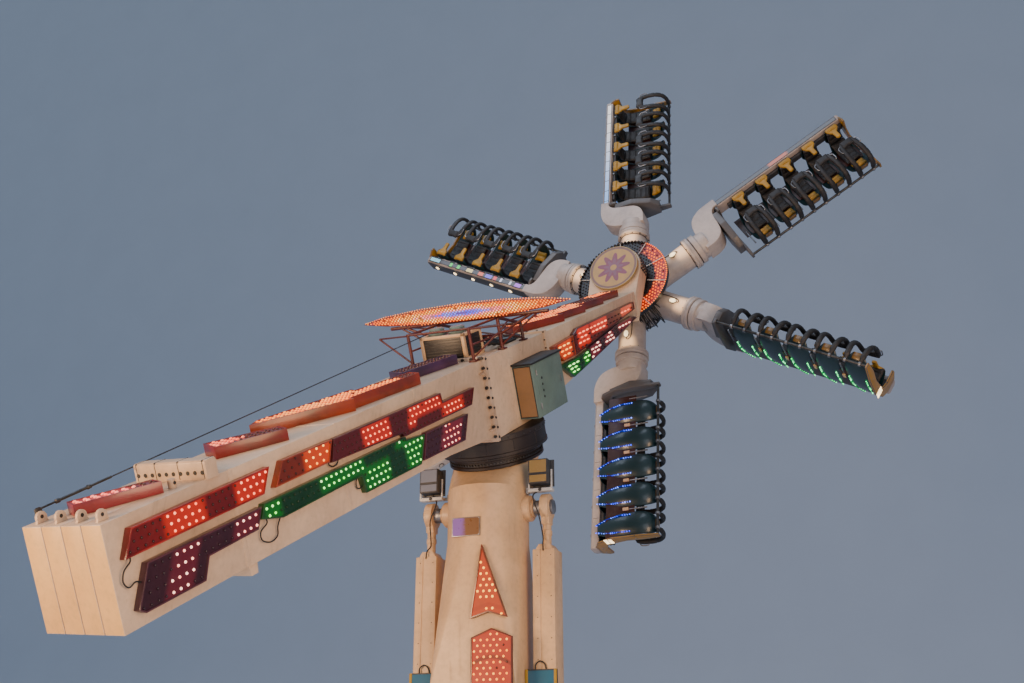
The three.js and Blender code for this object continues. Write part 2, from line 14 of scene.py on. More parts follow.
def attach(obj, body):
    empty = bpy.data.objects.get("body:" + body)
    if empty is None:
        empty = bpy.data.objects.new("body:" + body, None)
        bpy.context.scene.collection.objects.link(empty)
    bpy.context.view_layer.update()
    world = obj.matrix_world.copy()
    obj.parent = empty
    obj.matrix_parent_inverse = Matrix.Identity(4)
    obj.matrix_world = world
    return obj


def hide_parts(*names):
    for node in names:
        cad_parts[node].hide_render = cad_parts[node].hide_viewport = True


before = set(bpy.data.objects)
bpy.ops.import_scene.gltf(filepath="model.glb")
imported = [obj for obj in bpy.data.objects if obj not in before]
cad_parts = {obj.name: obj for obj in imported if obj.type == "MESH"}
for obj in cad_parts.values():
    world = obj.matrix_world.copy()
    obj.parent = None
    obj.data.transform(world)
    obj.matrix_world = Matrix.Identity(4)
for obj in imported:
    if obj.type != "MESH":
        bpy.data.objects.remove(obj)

LOG = logging.getLogger("ride")
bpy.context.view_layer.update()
BLACK = (0.0, 0.0, 0.0)
Colour = Tuple[float, float, float]
Point2 = Tuple[float, float]
Point3 = Tuple[float, float, float]
ORIGIN, UP, ALONG = (0, 0, 0), (0, 0, 1), (1, 0, 0)
SMOOTH_LIMIT = math.radians(25.0)


@dataclass(frozen=True)
class Frame:
    """A set of local axes standing in the world, in metres."""

    matrix: Matrix

    def shifted(self, x: float, y: float, z: float) -> "Frame":
        """The same axes moved along themselves."""
        return Frame(self.matrix @ Matrix.Translation((x, y, z)))

    def turned(self, degrees: float, axis: str) -> "Frame":
        """The same origin with the axes turned about one of them."""
        return Frame(self.matrix @ Matrix.Rotation(math.radians(degrees), 4, axis))

    def at(self, x: float, y: float, z: float) -> Vector:
        """The world place of a local point."""
        return self.matrix @ Vector((x, y, z))

    def axis(self, index: int) -> Vector:
        """One of the frame's axes as a world direction."""
        return self.matrix.to_3x3().col[index].copy()


HUB_CANT = 48.5
STAR_DROP = 0.35
DECK = 1.115
WORLD = Frame(Matrix.Identity(4))
RING = Frame(Matrix.Translation((0, 0, 8.5)) @ Matrix.Rotation(math.radians(30.0), 4, "X"))
BOOM = RING.turned(81.0, "Z")
STAR = BOOM.shifted(
    7.05 + STAR_DROP * math.sin(math.radians(HUB_CANT)), 0,
    DECK - STAR_DROP * math.cos(math.radians(HUB_CANT)),
).turned(-HUB_CANT, "Y")
ROLLS = {"a": -90.0, "b": -90.0, "c": 0.0, "d": 90.0, "e": -90.0, "f": -90.0}
ARMS = {tag: STAR.turned(6.0 - 60.0 * k, "Z") for k, tag in enumerate(ROLLS)}
GONDOLAS = {tag: ARMS[tag].turned(-roll, "X") for tag, roll in ROLLS.items()}


class Wire:
    """A node's output that can be used in sums; each operator adds a Math node."""

    def __init__(self, board: "Board", socket: bpy.types.NodeSocket) -> None:
        """Keeps the board that the socket's node stands on."""
        self.board = board
        self.socket = socket

    def __add__(self, other: Any) -> "Wire":
        """Sum."""
        return self.board.sums("ADD", self, other)

    def __mul__(self, other: Any) -> "Wire":
        """Product."""
        return self.board.sums("MULTIPLY", self, other)

    def __sub__(self, other: Any) -> "Wire":
        """Difference."""
        return self.board.sums("SUBTRACT", self, other)

    def __truediv__(self, other: Any) -> "Wire":
        """Quotient."""
        return self.board.sums("DIVIDE", self, other)

    def __gt__(self, other: Any) -> "Wire":
        """1 where the wire is the greater."""
        return self.board.sums("GREATER_THAN", self, other)

    def __lt__(self, other: Any) -> "Wire":
        """1 where the wire is the smaller."""
        return self.board.sums("LESS_THAN", self, other)


class Board:
    """A node tree being laid out, for a finish or for Geometry Nodes."""

    def __init__(self, tree: bpy.types.NodeTree) -> None:
        """Starts on an existing tree."""
        self.tree = tree

    def node(self, kind: str, settings: Optional[Dict[str, Any]] = None,
             inputs: Optional[Dict[Any, Any]] = None) -> bpy.types.Node:
        """Adds one node.

        Args:
            kind: the node's type name.
            settings: its own settings, set first; "stops" are a colour ramp's stops.
            inputs: values, wires or lists of wires by socket name or index.

        Returns:
            The new node.
        """
        made = self.tree.nodes.new(kind)
        for key, value in (settings or {}).items():
            if key == "stops":
                self.set_stops(made.color_ramp, value)
            else:
                setattr(made, key, value)
        for key, value in (inputs or {}).items():
            self.feed(made.inputs[key], value)
        return made

    def out(self, kind: str, settings: Optional[Dict[str, Any]] = None,
            inputs: Optional[Dict[Any, Any]] = None, output: Any = 0) -> Wire:
        """Adds one node and returns one of its outputs as a wire."""
        return Wire(self, self.node(kind, settings, inputs).outputs[output])

    def set_stops(self, ramp: bpy.types.ColorRamp, stops: Sequence[Tuple[float, Colour]]) -> None:
        """Sets a colour ramp's stops, given as place and colour."""
        while len(ramp.elements) < len(stops):
            ramp.elements.new(1.0)
        for element, (place, colour) in zip(ramp.elements, stops):
            element.position = place
            element.color = (*colour, 1.0)

    def feed(self, socket: bpy.types.NodeSocket, value: Any) -> None:
        """Links a wire, or several, to a socket, or sets its own value."""
        if isinstance(value, Wire):
            self.tree.links.new(value.socket, socket)
        elif isinstance(value, list) and value and isinstance(value[0], Wire):
            for wire in value:
                self.tree.links.new(wire.socket, socket)
        elif socket.type == "RGBA" and len(value) == 3:
            socket.default_value = (*value, 1.0)
        else:
            socket.default_value = value

    def sums(self, operation: str, *values: Any) -> Wire:
        """A Math node."""
        return self.out("ShaderNodeMath", {"operation": operation}, dict(enumerate(values)))

    def vector(self, operation: str, *values: Any, output: int = 0) -> Wire:
        """A Vector Math node."""
        settings = {"operation": operation}
        return self.out("ShaderNodeVectorMath", settings, dict(enumerate(values)), output)

    def mix(self, share: Any, first: Any, second: Any) -> Wire:
        """A colour between two, by share."""
        settings = {"data_type": "RGBA"}
        return self.out("ShaderNodeMix", settings, {0: share, 6: first, 7: second}, 2)

    def tint(self, colour: Any, strength: Any) -> Wire:
        """A colour made darker or brighter by a number."""
        return self.out("ShaderNodeVectorMath", {"operation": "SCALE"}, {0: colour, 3: strength})

    def place(self) -> Wire:
        """Object coordinates, which are the world's at rest, in metres."""
        return self.out("ShaderNodeTexCoord", output=3)

    def local(self, axes: Frame) -> Tuple[Wire, Wire, Wire]:
        """Object coordinates along a frame's three axes."""
        here = self.place()
        origin = axes.at(0, 0, 0)
        found = []
        for index in range(3):
            way = axes.axis(index)
            along = self.vector("DOT_PRODUCT", here, tuple(way), output=1)
            found.append(along - way.dot(origin))
        return found[0], found[1], found[2]

    def noise(self, where: Wire, scale: float, detail: float = 3.0, rough: float = 0.55) -> Wire:
        """Soft noise from 0 to 1."""
        return self.out("ShaderNodeTexNoise", None, {
            "Vector": where, "Scale": scale, "Detail": detail, "Roughness": rough})

    def stretched(self, where: Wire, x: float, y: float, z: float) -> Wire:
        """Coordinates scaled along the three axes, for streaks."""
        return self.vector("MULTIPLY", where, (x, y, z))

    def ease(self, value: Wire, low: float, high: float, start: float = 0.0,
             end: float = 1.0) -> Wire:
        """A smooth step between low and high."""
        settings = {"interpolation_type": "SMOOTHSTEP"}
        return self.out("ShaderNodeMapRange", settings, {
            0: value, 1: low, 2: high, 3: start, 4: end})

    def join(self, *parts: Any) -> Wire:
        """X, Y and Z as one vector."""
        return self.out("ShaderNodeCombineXYZ", None, dict(enumerate(parts)))

    def bump(self, height: Wire, depth: float) -> Wire:
        """A Bump node on a height, its depth in metres."""
        return self.out("ShaderNodeBump", None, {
            "Height": height, "Distance": depth, "Strength": 1.0})

    def radius(self, x: Wire, y: Wire) -> Wire:
        """The distance from an axis."""
        return self.sums("SQRT", x * x + y * y)


@dataclass(frozen=True)
class Finish:
    """A surface finish; each kind lays its own nodes for the shader's sockets."""

    name: str
    in_light_tree = True

    def material(self) -> bpy.types.Material:
        """The finish as a material, made once."""
        known = bpy.data.materials.get(self.name)
        if known is not None:
            return known
        made = bpy.data.materials.new(self.name)
        made.use_nodes = True
        made.node_tree.nodes.clear()
        board = Board(made.node_tree)
        surface = board.out("ShaderNodeBsdfPrincipled", None, self.lay(board))
        board.node("ShaderNodeOutputMaterial", None, {"Surface": surface})
        if not self.in_light_tree:
            made.cycles.emission_sampling = "NONE"
        return made

    def lay(self, board: Board) -> Dict[str, Any]:
        """The values and wires for the shader's sockets."""
        raise NotImplementedError


def poured(part: bmesh.types.BMesh, name: str) -> bpy.types.Mesh:
    """A finished part as mesh data; the part is freed."""
    mesh = bpy.data.meshes.new(name)
    part.to_mesh(mesh)
    part.free()
    return mesh


def stood(name: str, data: bpy.types.ID) -> bpy.types.Object:
    """A new object with its data, linked to the scene."""
    made = bpy.data.objects.new(name, data)
    bpy.context.scene.collection.objects.link(made)
    return made


def ease_edges(part: bmesh.types.BMesh, width: float, steps: int,
               edges: Optional[List[bmesh.types.BMEdge]] = None) -> None:
    """Rounds some of a part's edges, or all of them; a width of zero leaves them sharp."""
    if width > 0:
        bmesh.ops.bevel(part, geom=part.edges[:] if edges is None else edges, offset=width,
                        offset_type="OFFSET", segments=steps, profile=0.5, affect="EDGES",
                        clamp_overlap=True)


def prism(near: Sequence[Point3], far: Sequence[Point3]) -> bmesh.types.BMesh:
    """A part with two ends of equally many corners, its first two faces, and flat sides."""
    part = bmesh.new()
    ends = [[part.verts.new(p) for p in end] for end in (near, far)]
    for end in ends:
        part.faces.new(end)
    skin(part, *ends)
    bmesh.ops.recalc_face_normals(part, faces=part.faces[:])
    return part


def skin(part: bmesh.types.BMesh, *rings: List[bmesh.types.BMVert]) -> None:
    """Joins each ring of a part's vertices to the next one by four-sided faces."""
    for first, second in zip(rings, rings[1:]):
        for i in range(len(first)):
            j = (i + 1) % len(first)
            part.faces.new((first[i], first[j], second[j], second[i]))


def cap(part: bmesh.types.BMesh, *ends: List[bmesh.types.BMVert]) -> None:
    """Closes a part's open ends and turns its faces outwards."""
    for end in ends:
        part.faces.new(end)
    bmesh.ops.recalc_face_normals(part, faces=part.faces[:])


def circle(count: int, step: float, start: float = 0.0) -> List[Point2]:
    """Cosine and sine of evenly spaced angles, in degrees."""
    angles = [math.radians(step * k + start) for k in range(count)]
    return [(math.cos(angle), math.sin(angle)) for angle in angles]


PLANES = {
    "xy": Matrix.Identity(4),
    "xz": Matrix(((1, 0, 0, 0), (0, 0, 1, 0), (0, 1, 0, 0), (0, 0, 0, 1))),
    "yz": Matrix(((0, 0, 1, 0), (1, 0, 0, 0), (0, 1, 0, 0), (0, 0, 0, 1))),
}
FULL_TURN = 2 * math.pi


class Piece:
    """Gathers one piece's mesh in a local frame and hands it over to its body."""

    def __init__(self, name: str, axes: Frame, *finishes: Finish) -> None:
        """Starts an empty piece with its finishes in slot order."""
        self.name = name
        self.axes = axes
        self.finishes = finishes
        self.body = bmesh.new()

    def take(self, part: bmesh.types.BMesh, finish: int = 0, matrix: Optional[Matrix] = None,
             keep: bool = False) -> None:
        """Adds a finished part mesh to the piece.

        Args:
            part: the part; it is freed.
            finish: the finish's slot for all of its faces.
            matrix: where it goes, if it isn't in place.
            keep: keeps the faces' own slots instead.
        """
        if matrix is not None:
            part.transform(matrix)
            if matrix.determinant() < 0:
                bmesh.ops.reverse_faces(part, faces=part.faces[:])
        if not keep:
            for face in part.faces:
                face.material_index = finish
        scratch = poured(part, "scratch")
        self.body.from_mesh(scratch)
        bpy.data.meshes.remove(scratch)

    def slab(self, outline: Sequence[Point2], low: float, high: float, plane: str = "xz",
             edge: float = 0.004, finish: int = 0, inset: float = 0.0, sunk: float = 0.0,
             face_finish: Optional[int] = None, rounds: int = 2) -> None:
        """An outline given thickness, with eased edges and, if asked, a sunk face.

        Args:
            outline: corners in the plane.
            low: the near side along the third axis.
            high: the far side; the face that is sunk looks towards it.
            plane: the outline's plane: xz, yz or xy.
            edge: the width of the eased edge.
            finish: the slab's slot.
            inset: the rim's width around the sunk face.
            sunk: how deep the face lies behind the rim.
            face_finish: the sunk face's slot.
            rounds: steps across an eased edge.
        """
        part = prism([(a, b, min(low, high)) for a, b in outline],
                     [(a, b, max(low, high)) for a, b in outline])
        for face in part.faces:
            face.material_index = finish
        part.faces.ensure_lookup_table()
        way = part.faces[1 if high >= low else 0].normal.copy()
        ease_edges(part, edge, rounds)
        if inset > 0:
            flat = [f for f in part.faces if f.normal.dot(way) > 0.999]
            face = max(flat, key=lambda f: f.calc_area())
            for thickness, depth in ((inset, 0.0), (0.002, -sunk)):
                bmesh.ops.inset_region(part, faces=[face], thickness=thickness, depth=depth,
                                       use_even_offset=True)
            if face_finish is not None:
                face.material_index = face_finish
        self.take(part, matrix=PLANES[plane], keep=True)

    def box(self, low: Point3, high: Point3, edge: float = 0.005, finish: int = 0) -> None:
        """A box between two corners with eased edges."""
        part = bmesh.new()
        size = [high[i] - low[i] for i in range(3)]
        middle = [(high[i] + low[i]) / 2 for i in range(3)]
        bmesh.ops.create_cube(part, size=1.0)
        part.transform(Matrix.Translation(middle) @ Matrix.Diagonal((*size, 1.0)))
        ease_edges(part, edge, 2)
        self.take(part, finish)

    def lathe(self, profile: Sequence[Point2], centre: Point3 = ORIGIN, way: Point3 = UP,
              sides: int = 32, finish: int = 0, ring: bool = False) -> None:
        """A turned shape: radii and heights along an axis through centre.

        Args:
            profile: radius and height pairs from one end to the other.
            centre: the axis's foot.
            way: the axis's direction.
            sides: steps round.
            finish: its slot.
            ring: joins the profile's ends to each other instead of closing each with a disc.
        """
        part = bmesh.new()
        rings = []
        for radius, height in profile:
            if radius < 1e-6:
                rings.append([part.verts.new((0, 0, height))])
                continue
            rings.append([part.verts.new((radius * math.cos(FULL_TURN * i / sides),
                                          radius * math.sin(FULL_TURN * i / sides), height))
                          for i in range(sides)])
        for first, second in zip(rings, rings[1:] + rings[:1] if ring else rings[1:]):
            for i in range(sides):
                j = (i + 1) % sides
                loop = [first[i % len(first)], first[j % len(first)],
                        second[j % len(second)], second[i % len(second)]]
                unique = list(dict.fromkeys(loop))
                if len(unique) > 2:
                    part.faces.new(unique)
        cap(part, *(end for end in (rings[0], rings[-1]) if len(end) > 1 and not ring))
        turn = Vector((0, 0, 1)).rotation_difference(Vector(way).normalized()).to_matrix()
        self.take(part, finish, Matrix.Translation(centre) @ turn.to_4x4())

    def rod(self, start: Point3, end: Point3, radius: float, sides: int = 20, finish: int = 0,
            edge: float = 0.006) -> None:
        """A round bar between two points with eased ends."""
        along = Vector(end) - Vector(start)
        long = along.length
        ease = min(edge, radius * 0.4, long * 0.3)
        profile = [(radius, ease), (radius, long - ease)]
        if ease > 0:
            profile = [(radius - ease, 0.0), *profile, (radius - ease, long)]
        self.lathe(profile, start, tuple(along), sides, finish)

    def tube(self, path: Sequence[Point3], radius: float, sides: int = 10, finish: int = 0,
             flat: float = 1.0) -> None:
        """A round or flattened bar along a path.

        Args:
            path: its middle line.
            radius: half its width.
            sides: steps round.
            finish: its slot.
            flat: the section's height as a share of its width.
        """
        part = bmesh.new()
        points = [Vector(p) for p in path]
        rings = []
        normal = None
        for i, point in enumerate(points):
            tangent = (points[min(i + 1, len(points) - 1)] - points[max(i - 1, 0)]).normalized()
            if normal is None:
                helper = Vector((0, 0, 1)) if abs(tangent.z) < 0.9 else Vector((1, 0, 0))
                normal = tangent.cross(helper).normalized()
            normal = (normal - tangent * normal.dot(tangent)).normalized()
            side = tangent.cross(normal)
            rings.append([part.verts.new(point + radius * (
                normal * math.cos(FULL_TURN * k / sides)
                + side * flat * math.sin(FULL_TURN * k / sides))) for k in range(sides)])
        skin(part, *rings)
        cap(part, rings[0], rings[-1])
        self.take(part, finish)

    def mesh(self, mesh: bpy.types.Mesh, matrix: Optional[Matrix] = None) -> None:
        """Adds a plain mesh, keeping its faces' slots."""
        part = bmesh.new()
        part.from_mesh(mesh)
        self.take(part, matrix=matrix, keep=True)

    def plain(self) -> bpy.types.Mesh:
        """What has been gathered, as a mesh in the piece's own frame, without its finishes."""
        return poured(self.body, self.name)

    def finished(self) -> bpy.types.Mesh:
        """What has been gathered, as a shaded mesh with its finishes."""
        mesh = self.plain()
        for finish in self.finishes:
            mesh.materials.append(finish.material())
        mesh.shade_smooth()
        mesh.set_sharp_from_angle(angle=SMOOTH_LIMIT)
        return mesh

    def deliver(self, rides: str, *replaced: str, slot: str = "") -> None:
        """Puts the piece in its place and on its body.

        Args:
            rides: the body's name.
            replaced: CAD nodes that it stands for.
            slot: the record's material slot; not used.
        """
        self.body.transform(self.axes.matrix)
        if self.axes.matrix.determinant() < 0:
            bmesh.ops.reverse_faces(self.body, faces=self.body.faces[:])
        enlist(stood(self.name, self.finished()), rides, replaced)


def bake_down(made: bpy.types.Object) -> None:
    """Turns an object's modifiers into its plain mesh and removes them."""
    graph = bpy.context.evaluated_depsgraph_get()
    graph.update()
    result = bpy.data.meshes.new_from_object(
        made.evaluated_get(graph), preserve_all_data_layers=True, depsgraph=graph)
    made.modifiers.clear()
    old = made.data
    made.data = result
    result.name = made.name
    if old.users == 0:
        bpy.data.meshes.remove(old)


def baked(made: bpy.types.Object) -> bpy.types.Mesh:
    """A scratch object's mesh with its modifiers applied; the object is removed."""
    bake_down(made)
    result = made.data
    bpy.data.objects.remove(made)
    return result


def enlist(made: bpy.types.Object, rides: str, replaced: Sequence[str]) -> None:
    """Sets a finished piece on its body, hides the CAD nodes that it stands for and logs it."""
    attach(made, rides)
    if replaced:
        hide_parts(*replaced)
    LOG.info("%s: %d faces on %s", made.name, len(made.data.polygons), rides)


@dataclass(frozen=True)
class Painted(Finish):
    """Painted steel: uneven tone, run-off streaks, rust at chips and a faint orange peel."""

    tone: Colour = (0.68, 0.45, 0.25)
    shade: Colour = (0.54, 0.34, 0.18)
    dirt: Colour = (0.13, 0.10, 0.08)
    rust: Colour = (0.20, 0.075, 0.025)
    grime: float = 0.35
    rusting: float = 0.25
    gloss: float = 0.38
    peel: float = 0.0004

    def lay(self, board: Board) -> Dict[str, Any]:
        """The values and wires for the shader's sockets."""
        here = board.place()
        broad = board.noise(here, 0.9, 4.0, 0.6)
        fine = board.noise(here, 14.0, 4.0, 0.6)
        runs = board.noise(board.stretched(here, 9.0, 9.0, 0.7), 1.0, 4.0, 0.65)
        streak = board.ease(runs, 0.52, 0.76) * board.ease(broad, 0.35, 0.7)
        chips = board.ease(board.noise(here, 5.0, 8.0, 0.75), 0.66, 0.70)
        base = board.mix(board.ease(broad, 0.35, 0.68), self.tone, self.shade)
        base = board.mix(board.ease(fine, 0.4, 0.8) * 0.18, base, self.dirt)
        base = board.mix(streak * self.grime, base, self.dirt)
        base = board.mix(chips * self.rusting, base, self.rust)
        rough = streak * 0.2 + fine * 0.14 + chips * 0.25 + (self.gloss - 0.06)
        ripple = board.noise(here, 120.0, 2.0)
        return {
            "Base Color": base, "Roughness": rough,
            "Normal": board.bump(ripple * 0.4 + fine * 0.6 - chips * 0.5, self.peel)}


@dataclass(frozen=True)
class Steel(Finish):
    """Bare or galvanised steel with turned or drawn scratches."""

    tone: Colour = (0.32, 0.32, 0.33)
    gloss: float = 0.35

    def lay(self, board: Board) -> Dict[str, Any]:
        """The values and wires for the shader's sockets."""
        here = board.place()
        cloud = board.noise(here, 7.0, 4.0)
        lines = board.noise(board.stretched(here, 160.0, 160.0, 9.0), 1.0, 2.0)
        dark = tuple(0.45 * c for c in self.tone)
        base = board.mix(board.ease(cloud, 0.35, 0.75), self.tone, dark)
        return {
            "Base Color": base, "Metallic": 0.85,
            "Roughness": cloud * 0.25 + lines * 0.1 + (self.gloss - 0.1),
            "Normal": board.bump(lines, 0.0003)}


@dataclass(frozen=True)
class Moulded(Finish):
    """Moulded plastic or gelcoat: an even colour with moulding grain and handling marks."""

    tone: Colour = (0.02, 0.02, 0.02)
    gloss: float = 0.35
    coat: float = 0.0
    grain: float = 260.0
    depth: float = 0.0002

    def lay(self, board: Board) -> Dict[str, Any]:
        """The values and wires for the shader's sockets."""
        here = board.place()
        cloud = board.noise(here, 3.5, 4.0)
        marks = board.ease(board.noise(here, 30.0, 6.0, 0.7), 0.58, 0.75)
        pale = tuple(min(1.0, 1.5 * c + 0.012) for c in self.tone)
        base = board.mix(marks * 0.3 + cloud * 0.25, self.tone, pale)
        grain = board.noise(here, self.grain, 2.0)
        return {
            "Base Color": base, "Roughness": marks * 0.22 + cloud * 0.12 + self.gloss,
            "Coat Weight": self.coat, "Coat Roughness": 0.12,
            "Normal": board.bump(grain + marks * 0.5, self.depth)}


@dataclass(frozen=True)
class Vinyl(Finish):
    """Coated upholstery: leather grain, soft folds and worn shine."""

    tone: Colour = (0.02, 0.018, 0.016)
    gloss: float = 0.42

    def lay(self, board: Board) -> Dict[str, Any]:
        """The values and wires for the shader's sockets."""
        here = board.place()
        cells = board.out("ShaderNodeTexVoronoi", {"feature": "DISTANCE_TO_EDGE"}, {
            "Vector": here, "Scale": 180.0})
        folds = board.noise(here, 11.0, 3.0)
        wear = board.ease(board.noise(here, 4.0, 5.0), 0.45, 0.75)
        pale = tuple(min(1.0, 1.9 * c + 0.02) for c in self.tone)
        return {
            "Base Color": board.mix(wear * 0.5 + folds * 0.2, self.tone, pale),
            "Roughness": folds * 0.15 + self.gloss - wear * 0.1,
            "Normal": board.bump(board.ease(cells, 0.0, 0.12) * 0.3 + folds, 0.0012)}


@dataclass(frozen=True)
class LampBox(Finish):
    """A light box's coloured tray: glossy sheet that glows where its bulbs are lit."""

    tone: Colour = (0.5, 0.05, 0.03)
    glow: Colour = (1.0, 0.12, 0.03)
    zones: Tuple[Tuple[float, ...], ...] = ()
    flank: bool = True
    power: float = 1.1
    faint: float = 0.10

    def lay(self, board: Board) -> Dict[str, Any]:
        """The values and wires for the shader's sockets."""
        here = board.place()
        cloud = board.noise(here, 2.2, 4.0)
        dust = board.noise(here, 26.0, 5.0, 0.7)
        dark = tuple(0.18 * c for c in self.tone)
        base = board.mix(board.ease(cloud, 0.3, 0.75) * 0.5 + 0.35, self.tone, dark)
        base = board.mix(board.ease(dust, 0.5, 0.8) * 0.25, base, (0.10, 0.08, 0.06))
        values: Dict[str, Any] = {
            "Base Color": base, "Roughness": dust * 0.2 + 0.22,
            "Coat Weight": 0.3, "Coat Roughness": 0.15,
            "Normal": board.bump(dust, 0.0005)}
        if self.zones:
            x, y, z = board.local(BOOM)
            second = z if self.flank else y
            total: Any = 0.0
            for zone in self.zones:
                lean = zone[4] if len(zone) > 4 else 0.0
                along = x - second * lean + zone[2] * lean if lean else x
                inside = board.ease(along, zone[0] - 0.10, zone[0] + 0.03)
                inside = inside * board.ease(along, zone[1] + 0.10, zone[1] - 0.03)
                inside = inside * board.ease(second, zone[2] - 0.09, zone[2] + 0.02)
                inside = inside * board.ease(second, zone[3] + 0.09, zone[3] - 0.02)
                total = inside if isinstance(total, float) else total + inside
            patch = board.sums("MINIMUM", total, 1.0) * (cloud * 0.6 + 0.55)
            patch = board.sums("MAXIMUM", patch, self.faint)
            values["Emission Color"] = board.mix(patch, BLACK, self.glow)
            values["Emission Strength"] = self.power
        return values


@dataclass(frozen=True)
class Bulb(Finish):
    """Small lamp glasses; those marked lit shine, with a little difference from lamp to lamp.

    They are so many and so small that they stay out of the light tree.
    """

    in_light_tree = False

    glass: Colour = (0.10, 0.03, 0.02)
    light: Colour = (1.0, 0.35, 0.12)
    core: Colour = (1.0, 0.85, 0.6)
    power: float = 2.2

    def lay(self, board: Board) -> Dict[str, Any]:
        """The values and wires for the shader's sockets."""
        lit = board.out("ShaderNodeAttribute", {"attribute_name": "lit"}, output="Fac")
        tone = board.noise(board.place(), 6.0, 3.0)
        shine = board.mix(board.ease(tone, 0.35, 0.65), self.light, self.core)
        return {
            "Base Color": board.mix(lit, self.glass, self.light),
            "Roughness": tone * 0.1 + 0.12,
            "Emission Color": board.mix(board.sums("MINIMUM", lit, 1.0), BLACK, shine),
            "Emission Strength": self.power}


@dataclass(frozen=True)
class Lens(Finish):
    """A lamp lens that shines evenly behind ribbed glass."""

    tone: Colour = (0.8, 0.74, 0.6)
    light: Colour = (1.0, 0.74, 0.40)
    power: float = 3.0

    def lay(self, board: Board) -> Dict[str, Any]:
        """The values and wires for the shader's sockets."""
        here = board.place()
        ribs = board.out("ShaderNodeTexWave", None, {
            "Vector": here, "Scale": 24.0, "Distortion": 0.4})
        cloud = board.noise(here, 9.0, 3.0)
        dim = tuple(0.55 * c for c in self.light)
        return {
            "Base Color": board.mix(cloud, self.tone, tuple(0.6 * c for c in self.tone)),
            "Roughness": ribs * 0.1 + 0.08,
            "Emission Color": board.mix(board.ease(cloud, 0.3, 0.7), self.light, dim),
            "Emission Strength": self.power,
            "Normal": board.bump(ribs, 0.002)}


@dataclass(frozen=True)
class BadgeFace(Finish):
    """The hub badge: an ochre disc with a plain sunburst of rays."""

    ground: Colour = (0.40, 0.22, 0.018)
    rays: Colour = (0.16, 0.008, 0.035)
    rim: Colour = (0.14, 0.05, 0.02)
    count: int = 9

    def lay(self, board: Board) -> Dict[str, Any]:
        """The values and wires for the shader's sockets."""
        x, y, _ = board.local(STAR)
        out = board.radius(x, y)
        round_way = board.sums("ARCTAN2", y, x)
        wave = board.sums("COSINE", round_way * float(self.count))
        edge = wave * 0.085 + 0.30
        mask = board.ease(out - edge, 0.006, -0.006)
        inner = board.ease(out - (edge * 0.66 - 0.02), 0.006, -0.006)
        core = board.ease(out, 0.078, 0.07)
        cloud = board.noise(board.place(), 5.0, 4.0)
        base = board.mix(mask, self.ground, self.rays)
        base = board.mix(inner * 0.8, base, (0.15, 0.035, 0.075))
        base = board.mix(core, base, self.ground)
        base = board.mix(board.ease(out, 0.47, 0.49), base, self.rim)
        base = board.mix(board.ease(cloud, 0.4, 0.75) * 0.35, base, (0.12, 0.08, 0.05))
        return {
            "Base Color": base, "Roughness": cloud * 0.2 + 0.25, "Coat Weight": 0.25,
            "Normal": board.bump(mask * 0.6 + cloud, 0.0015)}


@dataclass(frozen=True)
class PlateFace(Finish):
    """A small plate with a glossy two-tone face and no lettering."""

    left: Colour = (0.20, 0.10, 0.42)
    right: Colour = (0.16, 0.075, 0.03)
    centre: float = 0.0
    half: float = 0.05

    def lay(self, board: Board) -> Dict[str, Any]:
        """The values and wires for the shader's sockets."""
        x, _, _ = board.local(WORLD)
        cloud = board.noise(board.place(), 18.0, 4.0)
        share = board.ease(x + cloud * 0.10, self.centre - self.half, self.centre + self.half)
        return {
            "Base Color": board.mix(share, self.left, self.right),
            "Roughness": cloud * 0.2 + 0.2,
            "Normal": board.bump(cloud, 0.0005)}


CREAM = Painted("Tower paint")
BOOM_PAINT = Painted("Boom paint", tone=(0.68, 0.50, 0.34), shade=(0.54, 0.38, 0.25),
                     rusting=0.35)
STAR_PAINT = Painted("Star paint", tone=(0.48, 0.42, 0.38), shade=(0.34, 0.29, 0.27),
                     rusting=0.12)
BASE_PAINT = Painted("Base paint", tone=(0.055, 0.056, 0.06), shade=(0.03, 0.03, 0.033),
                     dirt=(0.15, 0.12, 0.09), gloss=0.5)
FRAME_RED = Painted("Frame red", tone=(0.11, 0.012, 0.009), shade=(0.05, 0.007, 0.006))
TEAL_PAINT = Painted("Cabinet teal", tone=(0.15, 0.22, 0.185), shade=(0.10, 0.155, 0.13),
                     grime=0.25, rusting=0.05)
TAN_PAINT = Painted("Cabinet tan", tone=(0.34, 0.18, 0.075), shade=(0.22, 0.12, 0.045),
                    rusting=0.05)
RING_PAINT = Painted("Ring paint", tone=(0.020, 0.012, 0.009), shade=(0.010, 0.007, 0.006),
                     dirt=(0.05, 0.035, 0.028), rusting=0.1)
WEDGE_GREY = Painted("Guard grey", tone=(0.10, 0.095, 0.095), shade=(0.05, 0.048, 0.048),
                     rusting=0.1)
STEEL = Steel("Galvanised steel")
DARK_STEEL = Steel("Oiled steel", tone=(0.09, 0.088, 0.085), gloss=0.42)
RUBBER = Moulded("Hose rubber", tone=(0.012, 0.012, 0.012), gloss=0.5)
LAMP_BODY = Moulded("Lamp housing", tone=(0.035, 0.035, 0.038), gloss=0.45)
SHELL = Moulded("Seat gelcoat", tone=(0.004, 0.022, 0.028), gloss=0.3, coat=0.35)
SHELL_BAND = Moulded("Shell band", tone=(0.16, 0.085, 0.012), gloss=0.35, coat=0.3)
GAP_PANEL = Painted("Gap panel", tone=(0.035, 0.007, 0.004), shade=(0.015, 0.004, 0.003),
                    rusting=0.1)
BLACK_PAD = Vinyl("Black vinyl", tone=(0.010, 0.009, 0.009), gloss=0.5)
YELLOW_PAD = Vinyl("Yellow vinyl", tone=(0.30, 0.165, 0.010))
TOOTH_BLACK = Moulded("Cable sleeve", tone=(0.02, 0.02, 0.022), gloss=0.4)


